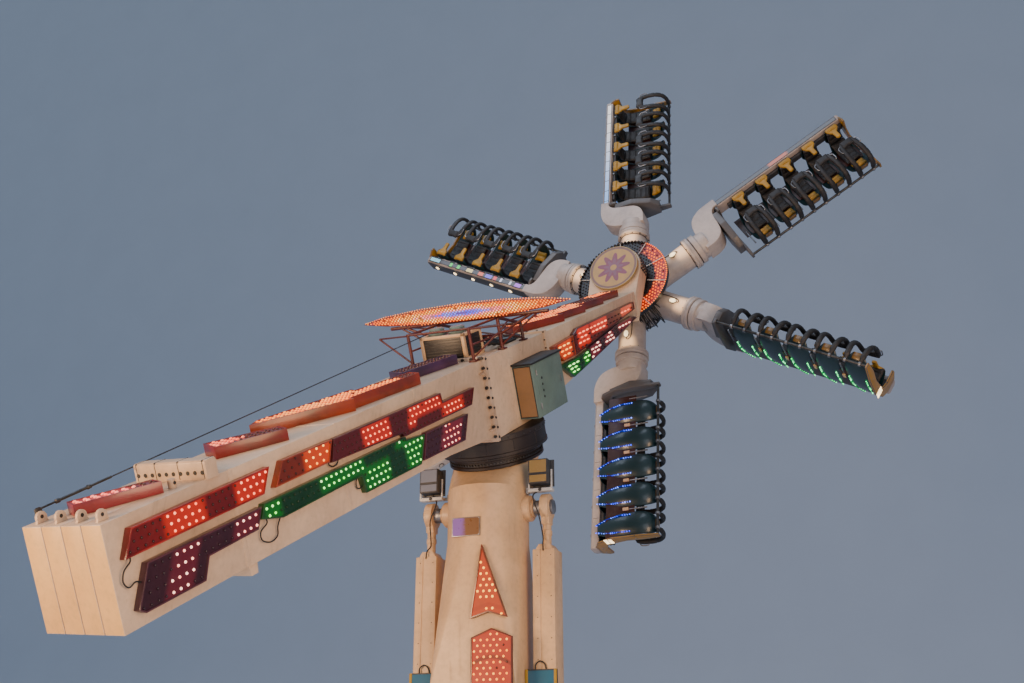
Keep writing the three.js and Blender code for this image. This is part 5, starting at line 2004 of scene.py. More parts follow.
@dataclass
class NameSign:
    """The lens-shaped sign board, bare of words, with rings of lamps, on its red truss."""

    tilt: float = -12.0
    at_x: float = -0.242
    height: float = 0.7003
    deep: float = 0.07
    half: float = 0.56
    lens: Tuple[Point2, ...] = (
        (-1.95, 0.0), (-1.5, -0.075), (-0.8, -0.128), (0.0, -0.144), (0.8, -0.128),
        (1.5, -0.075), (1.95, 0.0), (1.5, 0.08), (0.8, 0.137), (0.0, 0.156), (-0.8, 0.137),
        (-1.5, 0.08))

    def axes(self) -> Frame:
        """The board's own frame: y along it and z up its face."""
        return BOOM.shifted(self.at_x, 0, DECK + self.height).turned(self.tilt, "Y")

    def ring(self, outer: float, inner: float) -> List[List[Point2]]:
        """The band between two scaled outlines, cut into four-sided fields."""
        count = len(self.lens)
        found = []
        for i in range(count):
            a, b = self.lens[i], self.lens[(i + 1) % count]
            found.append([(a[0] * outer, a[1] * outer), (b[0] * outer, b[1] * outer),
                          (b[0] * inner, b[1] * inner), (a[0] * inner, a[1] * inner)])
        return found

    def build(self) -> None:
        """Builds the board, its lamps and the frame."""
        rim = Moulded("Sign rim", tone=(0.16, 0.02, 0.015), gloss=0.35)
        piece = Piece("name_sign_board", self.axes(), rim, SignFace("Sign face"), STEEL)
        piece.slab(self.lens, 0.0, -self.deep, "yz", 0.004, 0, 0.012, 0.008, 1)
        for k in range(-4, 5):
            piece.box((-0.001, 0.38 * k - 0.015, -0.07), (0.006, 0.38 * k + 0.015, 0.07), 0.002, 2)
        piece.deliver("boom", "name_sign", slot="sign_board")
        plane = self.axes().matrix @ Matrix(((0, 0, -1, -self.deep + 0.006), (1, 0, 0, 0),
                                             (0, 1, 0, 0), (0, 0, 0, 1)))
        kinds = (
            ("outer", 0.97, 0.74, (1.0, 0.14, 0.004), (1.0, 0.42, 0.04)),
            ("second", 0.72, 0.50, (1.0, 0.38, 0.02), (1.0, 0.80, 0.36)),
            ("third", 0.48, 0.30, (1.0, 0.10, 0.22), (1.0, 0.60, 0.66)),
            ("middle", 0.28, 0.04, (0.02, 0.05, 1.0), (0.30, 0.45, 1.0)),
        )
        for name, outer, inner, light, core in kinds:
            lamps = Bulb(f"Sign lamps {name}", light=light, core=core, power=1.8)
            fields = self.ring(outer, inner)
            lamp_field(f"name_sign_lamps_{name}", "boom", lamps, fields, fields, plane,
                       0.062, 0.030, 0.0, 0.0125, 0.0, 1.0, 0.02)
        lamps = Bulb("Sign lamps rim", light=(1.0, 0.16, 0.01), core=(1.0, 0.50, 0.10), power=2.2)
        loop = [(-0.035, y * 0.998, z * 0.99) for y, z in self.lens]
        mesh = PathRow().run(path_mesh([loop], True), lamps, Spacing=0.05, Radius=0.011,
                             Way=(0.0, 0.0, -1.0), Lit=1.0, Jitter=0.1)
        settle("name_sign_rim_lamps", mesh, self.axes().matrix, "boom")
        self.build_frame()

    def build_frame(self) -> None:
        """The red truss that carries the board."""
        posts = Piece("sign_frame_rear_posts", BOOM, FRAME_RED, DARK_STEEL)
        rear, foot, head = -1.15, DECK + 0.0004, DECK + 0.545
        for y in (-self.half, self.half):
            posts.box((rear - 0.06, y - 0.06, foot), (rear + 0.06, y + 0.06, foot + 0.025), 0.004)
            posts.rod((rear, y, foot), (rear, y, head), 0.026, 14)
            posts.rod((rear, y, head - 0.02), (-0.15, y, head - 0.02), 0.020, 12)
            posts.rod((rear, y, foot + 0.26), (-0.165, y, foot + 0.26), 0.016, 12)
            posts.rod((rear, y, foot + 0.06), (rear + 0.10, y * 2.1, head - 0.04), 0.016, 12)
            posts.rod((rear, y, head - 0.03), (rear + 0.10, y * 2.1, head - 0.04), 0.014, 12)
        posts.rod((rear, -self.half, head - 0.02), (rear, self.half, head - 0.02), 0.018, 12)
        posts.deliver("boom")
        piece = Piece("sign_frame_truss", BOOM, FRAME_RED, DARK_STEEL)
        z0 = DECK + 0.0004
        top = z0 + 0.545
        back = -0.165
        for y in (-self.half, self.half):
            for start, end, radius, sides in (
                    ((back, y, z0), (back, y, top), 0.030, 14),
                    ((0.62, y, z0), (0.62, y, z0 + 0.33), 0.028, 14),
                    ((0.62, y, z0 + 0.30), (back, y, top - 0.02), 0.026, 14),
                    ((0.62, y, z0 + 0.04), (back, y, z0 + 0.30), 0.018, 12),
                    ((back, y, z0 + 0.25), (back, y * 2.2, top), 0.022, 12),
                    ((back, y * 0.96, z0 + 0.06), (back, y * 2.35, top), 0.016, 12),
                    ((back, y * 2.2, top), (back + 0.22, y * 1.1, z0 + 0.42), 0.014, 12),
                    ((back + 0.22, y * 1.1, z0 + 0.42), (back, y * 0.98, z0 + 0.30), 0.014, 12)):
                piece.rod(start, end, radius, sides)
            piece.box((back - 0.06, y - 0.06, z0), (back + 0.06, y + 0.06, z0 + 0.025), 0.004)
            piece.box((0.56, y - 0.06, z0), (0.68, y + 0.06, z0 + 0.025), 0.004)
            for dx in (-0.045, 0.045):
                piece.rod((back + dx, y + 0.042, z0 + 0.02), (back + dx, y + 0.042, z0 + 0.04),
                          0.010, 6, 1, 0.0)
        piece.rod((back, -1.5, top), (back, 1.5, top), 0.032, 14)
        for x, low, high, radius, sides in ((back, 0.25, 0.25, 0.024, 14),
                                            (0.62, 0.30, 0.30, 0.024, 14),
                                            (0.62, 0.05, 0.28, 0.015, 12)):
            piece.rod((x, -self.half, z0 + low), (x, self.half, z0 + high), radius, sides)
        piece.deliver("boom", "sign_frame", slot="frame_red")


@dataclass
class StayCable:
    """The taut stay: shackle plate, turnbuckle and a laid wire rope up to the sign's frame."""

    start: Point3 = (-8.66, 0.455, 1.25)
    end: Point3 = (-0.2185, 0.56, 1.565)

    def build(self) -> None:
        """Builds and dresses the stay."""
        a, b = Vector(self.start), Vector(self.end)
        way = (b - a).normalized()
        piece = Piece("stay_cable_fittings", BOOM, DARK_STEEL, STEEL)
        piece.slab([(-8.73, 1.15), (-8.64, 1.15), (-8.64, 1.26), (-8.665, 1.272), (-8.705, 1.272),
                    (-8.73, 1.26)], 0.4486, 0.4615, "xz", 0.003)
        piece.rod(tuple(a), tuple(a + way * 0.22), 0.012, 12)
        piece.lathe([(0.008, 0.0), (0.024, 0.01), (0.026, 0.05), (0.017, 0.07), (0.017, 0.43),
                     (0.026, 0.45), (0.024, 0.49), (0.008, 0.50)], tuple(a + way * 0.2),
                    tuple(way), 20)
        piece.rod(tuple(a + way * 0.68), tuple(a + way * 1.0), 0.015, 12, 0)
        piece.rod(tuple(b - way * 0.12), tuple(b - way * 0.01), 0.014, 12, 1)
        piece.deliver("boom", "stay_cable", slot="ring_steel")
        line = path_mesh([[tuple(a + way * 0.95), tuple(b - way * 0.05)]])
        rope = RopeLay().run(line, DARK_STEEL, Radius=0.0085, Strands=6, Lay_length=0.16,
                             Step=0.02)
        settle("stay_cable_rope", rope, BOOM.matrix, "boom")


@dataclass
class BoomHead:
    """The bent head plate at the boom's end and the round badge on it."""

    low: float = 0.67
    high: float = 1.05
    radius: float = 0.58
    back: float = -1.25
    half: float = 0.54
    bead: float = 0.030
    bead_pitch: float = 0.088

    def build(self) -> None:
        """Builds and dresses the head and the badge."""
        piece = Piece("boom_head_plate", STAR, BOOM_PAINT, DARK_STEEL)
        outline = [p[:2] for p in arc_points(self.radius, -90, 90, 28)]
        outline += [(self.back, self.half), (self.back, -self.half)]
        part = prism([(x, y, self.low) for x, y in outline],
                     [(x, y, self.high) for x, y in outline])
        inverse = STAR.matrix.inverted()
        spot = inverse @ BOOM.at(6.0505, 0, 0)
        way = inverse.to_3x3() @ BOOM.axis(0)
        cut = bmesh.ops.bisect_plane(part, geom=part.verts[:] + part.edges[:] + part.faces[:],
                                     plane_co=spot, plane_no=way, clear_inner=True)
        rim = [e for e in cut["geom_cut"] if isinstance(e, bmesh.types.BMEdge)]
        bmesh.ops.holes_fill(part, edges=rim)
        bmesh.ops.recalc_face_normals(part, faces=part.faces[:])
        sharp = [e for e in part.edges if len(e.link_faces) == 2
                 and e.calc_face_angle() > math.radians(30)]
        ease_edges(part, 0.014, 3, sharp)
        piece.take(part)
        piece.deliver("boom", "boom_head", slot="boom_cream")
        rim_paint = Moulded("Badge rim", tone=(0.30, 0.20, 0.07), gloss=0.3, coat=0.3)
        badge = Piece("hub_badge_disc", STAR, rim_paint, BadgeFace("Badge enamel"), DARK_STEEL)
        top = self.high + 0.10
        badge.lathe([(0.30, top - 0.0597), (0.54, top - 0.0597), (0.55, top - 0.05),
                     (0.55, top - 0.006), (0.544, top), (0.530, top), (0.528, top - 0.01),
                     (0.50, top - 0.03), (0.30, top - 0.045)], sides=96, ring=True)
        badge.lathe([(0.30, top - 0.05), (0.5275, top - 0.02), (0.5275, top - 0.004),
                     (0.0, top - 0.002)], sides=96, finish=1)
        badge.lathe([(0.22, self.high + 0.0004), (0.30, self.high + 0.0004), (0.30, top - 0.055),
                     (0.22, top - 0.055)], sides=64, finish=2)
        badge.deliver("boom", "hub_badge", slot="panel_yellow")
        self.build_garland()

    def build_garland(self) -> None:
        """The bead lamps round the head plate's side, lit where they pass the boom's left."""
        beads = Bulb("Head beads", glass=(0.020, 0.010, 0.008), light=(1.0, 0.20, 0.04),
                     core=(1.0, 0.55, 0.30), power=2.4)
        for name, first, last, lit in (("dark", -90.0, 90.0, 0.0), ("lit", 90.0, 90.0, 1.0)):
            rows = []
            for k in range(4):
                z = self.low + 0.06 + self.bead_pitch * k
                arc = arc_points(self.radius + 0.006, first, last, 28, z) if first < last else [
                    (-0.05, self.half + 0.006, z), (-0.60, self.half + 0.006, z)]
                rows.append(arc)
            mesh = PathRow().run(path_mesh(rows), beads, Spacing=self.bead_pitch, Radius=self.bead,
                                 Way=(0.0, 1.0, 0.0), Centre=(0.0, 0.0, 0.8),
                                 Radial=1.0 if first < last else 0.0, Lit=lit)
            settle(f"head_beads_{name}", mesh, STAR.matrix, "boom")


@dataclass(frozen=True)
class ArmPaint(Painted):
    """The star's paint with painted light: a warm glow painted on each arm where its own lamp
    shines along it.
    """

    power: float = 1.5

    def lay(self, board: Board) -> Dict[str, Any]:
        """The values and wires for the shader's sockets."""
        values = super().lay(board)
        x, y, z = board.local(STAR)
        out = board.radius(x, y)
        turn = board.sums("ARCTAN2", y, x) * (180 / math.pi) + (360 * 2 - 6 + 30)
        off = board.sums("ABSOLUTE", board.sums("MODULO", turn, 60.0) - 30.0)
        # Painted light: the warm pool of lamp light on each arm's upper side, drawn as a glowing
        # patch in the paint.
        patch = board.ease(out, 0.80, 1.35) * board.ease(out, 1.62, 1.46)
        patch = patch * board.ease(z, 0.10, 0.29) * board.ease(off, 10.0, 2.5)
        # The painted lamp light is brighter nearer the lamp.
        near = board.ease(out, 1.2, 1.35) * 0.75 + 0.25
        values["Emission Color"] = board.mix(patch * near, BLACK, (1.0, 0.55, 0.24))
        values["Emission Strength"] = self.power
        return values


@dataclass
class Star:
    """The turning star: hub, six arms with collars and lamps, and the cable bundle."""

    apothem: float = 0.64
    half: float = 0.43
    arm: float = 0.30
    collar: float = 0.365
    leads: int = 34
    seed: int = 12

    def build(self) -> None:
        """Builds and dresses the star and its light disc."""
        # The arms' paint carries painted light: a warm glow where each arm's lamp shines on it.
        paint = ArmPaint("Arm paint", tone=STAR_PAINT.tone, shade=STAR_PAINT.shade, rusting=0.12)
        piece = Piece("star_hub_and_arms", STAR, paint, DARK_STEEL, STEEL)
        reach = self.apothem / math.cos(math.radians(30))
        outline = [(reach * c, reach * s) for c, s in circle(6, 60, 36)]
        piece.slab(outline, -self.half, self.half, "xy", 0.05, 0, rounds=4)
        piece.lathe([(0.33, self.half - 0.01), (0.33, 0.51), (0.32, 0.5196), (0.2, 0.5196)],
                    sides=48, finish=1)
        piece.lathe([(0.43, -0.42), (0.43, -0.55), (0.40, -0.57), (0.40, -0.72), (0.43, -0.74),
                     (0.43, -0.79), (0.41, -0.81), (0.0, -0.81)], sides=56, finish=1)
        for k in range(6):
            turn = Matrix.Rotation(math.radians(6 - 60 * k), 4, "Z")
            self.build_arm(piece, turn)
        piece.deliver("star", "star_arms", slot="boom_cream")
        for tag, axes in ARMS.items():
            self.build_lamp(tag, axes)
        self.build_bundle()
        LightDisc().build()

    def build_arm(self, piece: Piece, turn: Matrix) -> None:
        """One arm: tube, weld ring and bolted collar."""
        arm = Piece("arm", WORLD)
        arm.lathe([(self.arm, 0.56), (self.arm, 1.50), (0.315, 1.53), (self.collar - 0.008, 1.532),
                   (self.collar, 1.54), (self.collar, 1.592), (self.collar - 0.008, 1.5998),
                   (0.2, 1.5998)], ORIGIN, ALONG, 64)
        arm.lathe([(self.arm + 0.002, 0.60), (self.arm + 0.035, 0.61), (self.arm + 0.035, 0.66),
                   (self.arm + 0.002, 0.70)], ORIGIN, ALONG, 64)
        arm.lathe([(self.arm + 0.001, 1.505), (self.arm + 0.012, 1.508), (self.arm + 0.012, 1.522),
                   (self.arm + 0.001, 1.525)], ORIGIN, ALONG, 64, 1)
        for c, s in circle(12, 30, 15):
            arm.rod((1.515, 0.34 * c, 0.34 * s), (1.535, 0.34 * c, 0.34 * s), 0.014, 6, 1, 0.0)
        piece.mesh(arm.plain(), turn)

    def build_lamp(self, tag: str, axes: Frame) -> None:
        """The oval spot lamp that stands on an arm, with its lead."""
        piece = Piece(f"arm_lamp_{tag}", axes, LAMP_BODY, Lens("Spot lens"), RUBBER)
        piece.box((1.20, -0.045, 0.285), (1.24, 0.045, 0.33), 0.006)
        body = Matrix.Translation((1.22, 0, 0.335)) @ Matrix.Diagonal((1.15, 0.70, 0.8, 1.0))
        for profile, slot in (([(0.0, -0.03), (0.05, -0.027), (0.076, -0.005), (0.080, 0.02),
                                (0.074, 0.03)], 0),
                              ([(0.073, 0.028), (0.066, 0.045), (0.040, 0.060), (0.0, 0.066)], 1)):
            part = Piece("lamp", WORLD)
            part.lathe(profile, sides=28)
            piece.take(part.body, slot, body)
        knots = [(1.30, 0.0, 0.33), (1.34, 0.01, 0.325), (1.33, 0.05, 0.314), (1.25, 0.09, 0.298),
                 (1.0, 0.11, 0.290), (0.8, 0.10, 0.296)]
        piece.tube(curve_through(knots, 5), 0.009, 8, 2)
        piece.deliver("star")

    def build_bundle(self) -> None:
        """Black leads looping under the hub between two of the arms."""
        piece = Piece("hub_cable_bundle", STAR, RUBBER, TOOTH_BLACK)
        source = random.Random(self.seed)
        for k in range(self.leads):
            base = math.radians(-112 - 58 * k / (self.leads - 1))
            spread = source.uniform(-0.10, 0.10)
            reach = 0.92 + source.uniform(-0.06, 0.10)
            drop = source.uniform(0.02, 0.22)
            knots = []
            for r, z in ((0.62, 0.30), (0.74, 0.34 - drop * 0.3), (reach, 0.22 - drop),
                         (reach - 0.03, -0.02 - drop), (0.78, -0.12 - drop * 0.6), (0.62, -0.16)):
                knots.append((r * math.cos(base + spread * (r - 0.6) * 2),
                              r * math.sin(base + spread * (r - 0.6) * 2), z))
            piece.tube(curve_through(knots, 4), 0.011, 6, k % 2)
        piece.deliver("star")


@dataclass
class LightDisc:
    """The round lamp board behind the badge."""

    radius: float = 1.04
    low: float = 0.52
    high: float = 0.63

    def build(self) -> None:
        """Builds the board, its lamps and the thin rods over it."""
        rim = LampBox("Disc rim", tone=(0.012, 0.006, 0.005))
        face = DiscFace("Disc face")
        piece = Piece("light_disc_board", STAR, rim, face, DARK_STEEL)
        piece.lathe([(0.3, self.low + 0.0004), (self.radius - 0.01, self.low + 0.0004),
                     (self.radius, self.low + 0.01), (self.radius, self.high - 0.005),
                     (self.radius - 0.005, self.high), (self.radius - 0.035, self.high),
                     (self.radius - 0.037, self.high - 0.03), (0.3, self.high - 0.04)],
                    sides=120, ring=True)
        outer, inner, low, top = self.radius - 0.0365, 0.24, self.high - 0.05, self.high - 0.012
        piece.lathe([(outer, low), (outer, top), (inner, top), (inner, low)], sides=120, finish=1)
        piece.lathe([(inner, self.high - 0.02), (inner, 0.665), (0.225, 0.6696), (0.15, 0.6696)],
                    sides=40, finish=2)
        piece.deliver("star", "light_disc", slot="lamp_black")
        rods = Piece("light_disc_rods", STAR, Moulded("Rod white", tone=(0.62, 0.60, 0.56)))
        for c, s in circle(10, 36, 10):
            rods.rod((0.60 * c, 0.60 * s, 0.648), (1.02 * c, 1.02 * s, 0.640), 0.008, 8)
        rods.deliver("star")
        lamps = Bulb("Disc lamps", glass=(0.010, 0.005, 0.004), light=(1.0, 0.07, 0.002),
                     core=(1.0, 0.26, 0.02), power=1.5)
        whole = [p[:2] for p in arc_points(self.radius - 0.05, 0, 354, 59)]
        lit = [p[:2] for p in arc_points(self.radius, -30, -170, 28)]
        lit += [p[:2] for p in arc_points(0.76, -170, -30, 28)]
        lamp_field("light_disc_lamps", "star", lamps, [whole], [lit],
                   STAR.matrix @ Matrix.Translation((0, 0, self.high - 0.010)), 0.080, 0.062,
                   0.0, 0.0195, 0.01, 1.0, 0.03)
        for name, start, end, on in (("lit", -25, -172, 1.0), ("dark", -24, 186, 0.0)):
            path = arc_points(self.radius - 0.018, start, end, 48, self.high + 0.004)
            row = PathRow().run(path_mesh([path]), lamps, Spacing=0.055 if on else 0.080,
                                Radius=0.017 if on else 0.034, Lit=on)
            settle(f"light_disc_rim_{name}", row, STAR.matrix, "star")


@dataclass(frozen=True)
class DiscFace(Finish):
    """The lamp board's face, glowing on the side whose lamps are lit."""

    power: float = 0.35

    def lay(self, board: Board) -> Dict[str, Any]:
        """The values and wires for the shader's sockets."""
        x, y, _ = board.local(STAR)
        out = board.radius(x, y)
        cloud = board.noise(board.place(), 4.0, 3.0)
        side = board.ease(y * -1.0 - board.sums("ABSOLUTE", x) * 0.35, -0.05, 0.30)
        side = side * board.ease(out, 0.72, 0.80)
        tone = board.mix(board.ease(out + cloud * 0.3, 0.8, 1.15), (1.0, 0.08, 0.0),
                         (0.8, 0.006, 0.0))
        glow = board.mix(side * (cloud * 0.6 + 0.5), BLACK, tone)
        return {
            "Base Color": board.mix(side, (0.008, 0.004, 0.004), (0.16, 0.012, 0.004)),
            "Roughness": cloud * 0.2 + 0.3, "Emission Color": glow,
            "Emission Strength": self.power}


def smoothed(carrier: bpy.types.Object) -> bpy.types.Mesh:
    """A scratch object's mesh, once subdivided and shaded round; the object is removed."""
    grow = carrier.modifiers.new("Smooth", "SUBSURF")
    grow.levels = grow.render_levels = 1
    mesh = baked(carrier)
    mesh.shade_smooth()
    return mesh


@dataclass
class PadMaker:
    """A cushion puffed up by Blender's cloth from a flat rounded slab, centred on the origin."""

    width: float
    length: float
    thick: float
    voxel: float = 0.006
    pressure: float = 4.0
    cap: float = 0.016
    channels: Tuple[float, ...] = ()
    ratio: float = 0.022
    frames: int = 20
    seam_pull: float = 0.35
    seam_width: float = 0.012
    piping_pull: float = 0.18
    piping_inset: float = 0.035
    piping_width: float = 0.010
    most_pull: float = 0.6

    def make(self) -> bpy.types.Mesh:
        """Makes the cushion: x across, y along and z through it.

        Returns:
            The cushion's mesh, decimated and smoothed.
        """
        slab = Piece("pad_scratch", WORLD)
        half_x, half_y, half_z = self.width / 2, self.length / 2, self.thick / 2
        slab.box((-half_x, -half_y, -half_z), (half_x, half_y, half_z), self.thick * 0.42)
        carrier = stood("pad_scratch", slab.plain())
        grid = carrier.modifiers.new("Grid", "REMESH")
        grid.mode = "VOXEL"
        grid.voxel_size = self.voxel
        bake_down(carrier)
        self.puff(carrier)
        self.sew(carrier.data)
        thin = carrier.modifiers.new("Thin", "DECIMATE")
        thin.ratio = self.ratio
        return smoothed(carrier)

    def puff(self, carrier: bpy.types.Object) -> None:
        """Lets the cloth swell for its frames and caps how far a point has moved."""
        before = [v.co.copy() for v in carrier.data.vertices]
        cloth = carrier.modifiers.new("Cloth", "CLOTH")
        cloth.settings.quality = 4
        cloth.settings.use_pressure = True
        cloth.settings.uniform_pressure_force = self.pressure
        cloth.settings.effector_weights.gravity = 0.0
        cloth.point_cache.frame_start = 1
        cloth.point_cache.frame_end = self.frames
        scene = bpy.context.scene
        for number in range(1, self.frames + 1):
            scene.frame_set(number)
        bake_down(carrier)
        scene.frame_set(1)
        for vertex, start in zip(carrier.data.vertices, before):
            move = vertex.co - start
            if move.length > self.cap:
                vertex.co = start + move.normalized() * self.cap

    def sew(self, mesh: bpy.types.Mesh) -> None:
        """Presses the sewn channels across the upper face and the piping line round it."""
        for vertex in mesh.vertices:
            x, y, z = vertex.co
            if z <= 0:
                continue
            pull = 0.0
            for place in self.channels:
                off = (y - place * self.length) / self.seam_width
                pull += self.seam_pull * math.exp(-off ** 2)
            edge = min(self.width / 2 - abs(x), self.length / 2 - abs(y))
            off = (edge - self.piping_inset) / self.piping_width
            pull += self.piping_pull * math.exp(-off ** 2)
            vertex.co.z = z * (1.0 - min(self.most_pull, pull))


def bent(mesh: bpy.types.Mesh, path: Sequence[Point2], lift: float) -> bpy.types.Mesh:
    """Lays a flat cushion along a path in the (y, z) plane.

    Args:
        mesh: the cushion, x across, y along, z through.
        path: the surface that it rests on, from its low end to its high one.
        lift: the height of its middle over that surface.

    Returns:
        The same mesh, bent.
    """
    line = [Vector((0.0, *p)) for p in path]
    steps = [0.0]
    for a, b in zip(line, line[1:]):
        steps.append(steps[-1] + (b - a).length)
    total = steps[-1]
    length = max(v.co.y for v in mesh.vertices) - min(v.co.y for v in mesh.vertices)
    for vertex in mesh.vertices:
        run = (vertex.co.y / length + 0.5) * total
        k = min(len(line) - 2, max(0, next((i for i in range(len(steps) - 1)
                                           if run <= steps[i + 1]), len(line) - 2)))
        share = (run - steps[k]) / (steps[k + 1] - steps[k])
        spot = line[k].lerp(line[k + 1], share)
        way = (line[k + 1] - line[k]).normalized()
        normal = Vector((0.0, way.z, -way.y))
        vertex.co = Vector((vertex.co.x, 0, 0)) + spot + normal * (vertex.co.z + lift)
    return mesh


@dataclass
class SeatShell:
    """The bucket shell: a curved skin whose edges wrap forward, closed over the head."""

    wall: float = 0.022
    columns: Tuple[float, ...] = (-1.0, -0.86, -0.6, -0.3, 0.0, 0.3, 0.6, 0.86, 1.0)
    knots: Tuple[Tuple[float, float, float, float], ...] = (
        (0.205, -0.462, 0.17, 0.02), (0.07, -0.500, 0.20, 0.03), (-0.06, -0.530, 0.215, 0.035),
        (-0.20, -0.560, 0.20, 0.03), (-0.300, -0.572, 0.12, 0.02), (-0.345, -0.46, 0.17, 0.05),
        (-0.395, -0.28, 0.235, 0.07), (-0.445, -0.06, 0.265, 0.085),
        (-0.445, 0.18, 0.269, 0.085), (-0.418, 0.42, 0.265, 0.08), (-0.365, 0.555, 0.245, 0.07),
        (-0.285, 0.640, 0.212, 0.055), (-0.195, 0.682, 0.165, 0.035),
        (-0.115, 0.697, 0.105, 0.018))

    def skin(self, station: int, across: float, inward: float = 0.0) -> Vector:
        """A point on the shell.

        Args:
            station: which knot along the shell.
            across: from -1 at one edge to 1 at the other.
            inward: depth below the outer face.

        Returns:
            The point in the gondola's frame, at the seat's middle.
        """
        y, z, half, curl = self.knots[station]
        before = self.knots[max(0, station - 1)]
        after = self.knots[min(len(self.knots) - 1, station + 1)]
        way = Vector((0, after[0] - before[0], after[1] - before[1])).normalized()
        normal = Vector((0, way.z, -way.y))
        depth = curl * abs(across) ** 2.4 + inward
        return Vector((half * across * (1 - 0.02 * abs(across)), y, z)) + normal * depth

    def make(self) -> bpy.types.Mesh:
        """The shell as a closed, smoothed mesh."""
        part = bmesh.new()
        outer = [[part.verts.new(self.skin(s, c)) for c in self.columns]
                 for s in range(len(self.knots))]
        inner = [[part.verts.new(self.skin(s, c * 0.985, self.wall)) for c in self.columns]
                 for s in range(len(self.knots))]
        last_row, last = len(self.knots) - 1, len(self.columns) - 1
        for s in range(last_row):
            for c in range(last):
                part.faces.new((outer[s][c], outer[s][c + 1],
                                outer[s + 1][c + 1], outer[s + 1][c]))
                part.faces.new((inner[s][c], inner[s + 1][c],
                                inner[s + 1][c + 1], inner[s][c + 1]))
            for c in (0, last):
                part.faces.new((outer[s][c], outer[s + 1][c], inner[s + 1][c], inner[s][c]))
        for c in range(last):
            for s in (0, last_row):
                part.faces.new((outer[s][c], outer[s][c + 1], inner[s][c + 1], inner[s][c]))
        bmesh.ops.recalc_face_normals(part, faces=part.faces[:])
        mesh = smoothed(stood("shell", poured(part, "shell")))
        mesh.set_sharp_from_angle(angle=math.radians(50))
        return mesh

    def lamp_lines(self, across: float) -> List[List[Point3]]:
        """Short dashes up the outer face, each the place of a strip of small lamps."""
        whole = curve_through([tuple(self.skin(s, across, -0.004)) for s in range(4, 10)], 8)
        return [whole[k:k + 6] for k in range(0, len(whole) - 5, 9)]


class StripKind(Enum):
    """How a gondola's front strip shines."""

    WHITE = "white"
    COLOURS = "colours"
    CLUSTER = "cluster"
    OFF = "off"


@dataclass(frozen=True)
class StripFace(Finish):
    """The long strip on the beam's front: dots of light behind a clear cover."""

    kind: StripKind = StripKind.OFF
    tag: str = "a"
    power: float = 1.1

    def lay(self, board: Board) -> Dict[str, Any]:
        """The values and wires for the shader's sockets."""
        x, _, z = board.local(GONDOLAS[self.tag])
        cells = board.sums("FRACT", x / 0.31)
        cover = board.ease(board.sums("ABSOLUTE", cells - 0.5), 0.48, 0.44)
        rows = board.sums("SINE", z * 210.0) * board.sums("SINE", x * 160.0)
        dots = board.ease(rows, -0.2, 0.7, 0.25, 1.0)
        values: Dict[str, Any] = {"Base Color": (0.05, 0.05, 0.055), "Coat Weight": 0.6}
        values["Roughness"] = board.noise(board.place(), 30.0) * 0.2 + 0.15
        if self.kind is StripKind.WHITE:
            near = board.ease(x, 2.7, 5.7)
            tone = board.mix(near, (0.22, 0.48, 1.0), (1.0, 0.92, 0.88))
            values["Emission Color"] = board.tint(tone, cover * 0.8 + 0.2)
        elif self.kind is StripKind.COLOURS:
            boxes = ((2.84, 3.02, (0.55, 0.10, 1.0)), (3.14, 3.20, (0.8, 0.8, 1.0)),
                     (3.44, 3.50, (0.8, 0.8, 1.0)), (3.62, 3.72, (1.0, 0.02, 0.02)),
                     (3.78, 3.98, (0.16, 0.10, 1.0)), (4.06, 4.22, (1.0, 0.12, 0.01)),
                     (4.42, 4.62, (1.0, 0.80, 0.28)), (4.86, 4.95, (0.02, 0.9, 0.08)),
                     (5.12, 5.20, (0.02, 0.9, 0.08)), (5.56, 5.88, (0.30, 0.80, 1.0)))
            glow: Any = BLACK
            for start, end, colour in boxes:
                inside = board.sums("COMPARE", x, (start + end) / 2, (end - start) / 2)
                glow = board.mix(inside, glow, colour)
            values["Emission Color"] = board.tint(glow, dots * 2.0)
        elif self.kind is StripKind.CLUSTER:
            inside = board.ease(x, 4.08, 4.16) * board.ease(x, 4.66, 4.56)
            glow = board.mix(inside * dots, BLACK, (1.0, 0.16, 0.015))
            values["Emission Color"] = glow
        values["Emission Strength"] = 0.0 if self.kind is StripKind.OFF else self.power
        return values


@dataclass(frozen=True)
class GondolaLook:
    """What differs from gondola to gondola: its lights."""

    tag: str
    arcs: Tuple[Colour, Colour]
    strip: StripKind
    beam_lamps: bool


LOOKS = (
    GondolaLook("a", ((0.02, 0.06, 1.0), (0.20, 0.40, 1.0)), StripKind.WHITE, False),
    GondolaLook("b", ((1.0, 0.08, 0.01), (1.0, 0.34, 0.10)), StripKind.CLUSTER, True),
    GondolaLook("c", ((0.0, 0.75, 0.14), (0.25, 1.0, 0.45)), StripKind.OFF, False),
    GondolaLook("d", ((0.01, 0.04, 1.0), (0.20, 0.35, 1.0)), StripKind.OFF, False),
    GondolaLook("e", ((0.40, 0.05, 1.0), (0.70, 0.40, 1.0)), StripKind.WHITE, False),
    GondolaLook("f", ((0.02, 0.25, 1.0), (0.30, 0.70, 1.0)), StripKind.COLOURS, True),
)


SHAFT = (-0.36, 0.735)


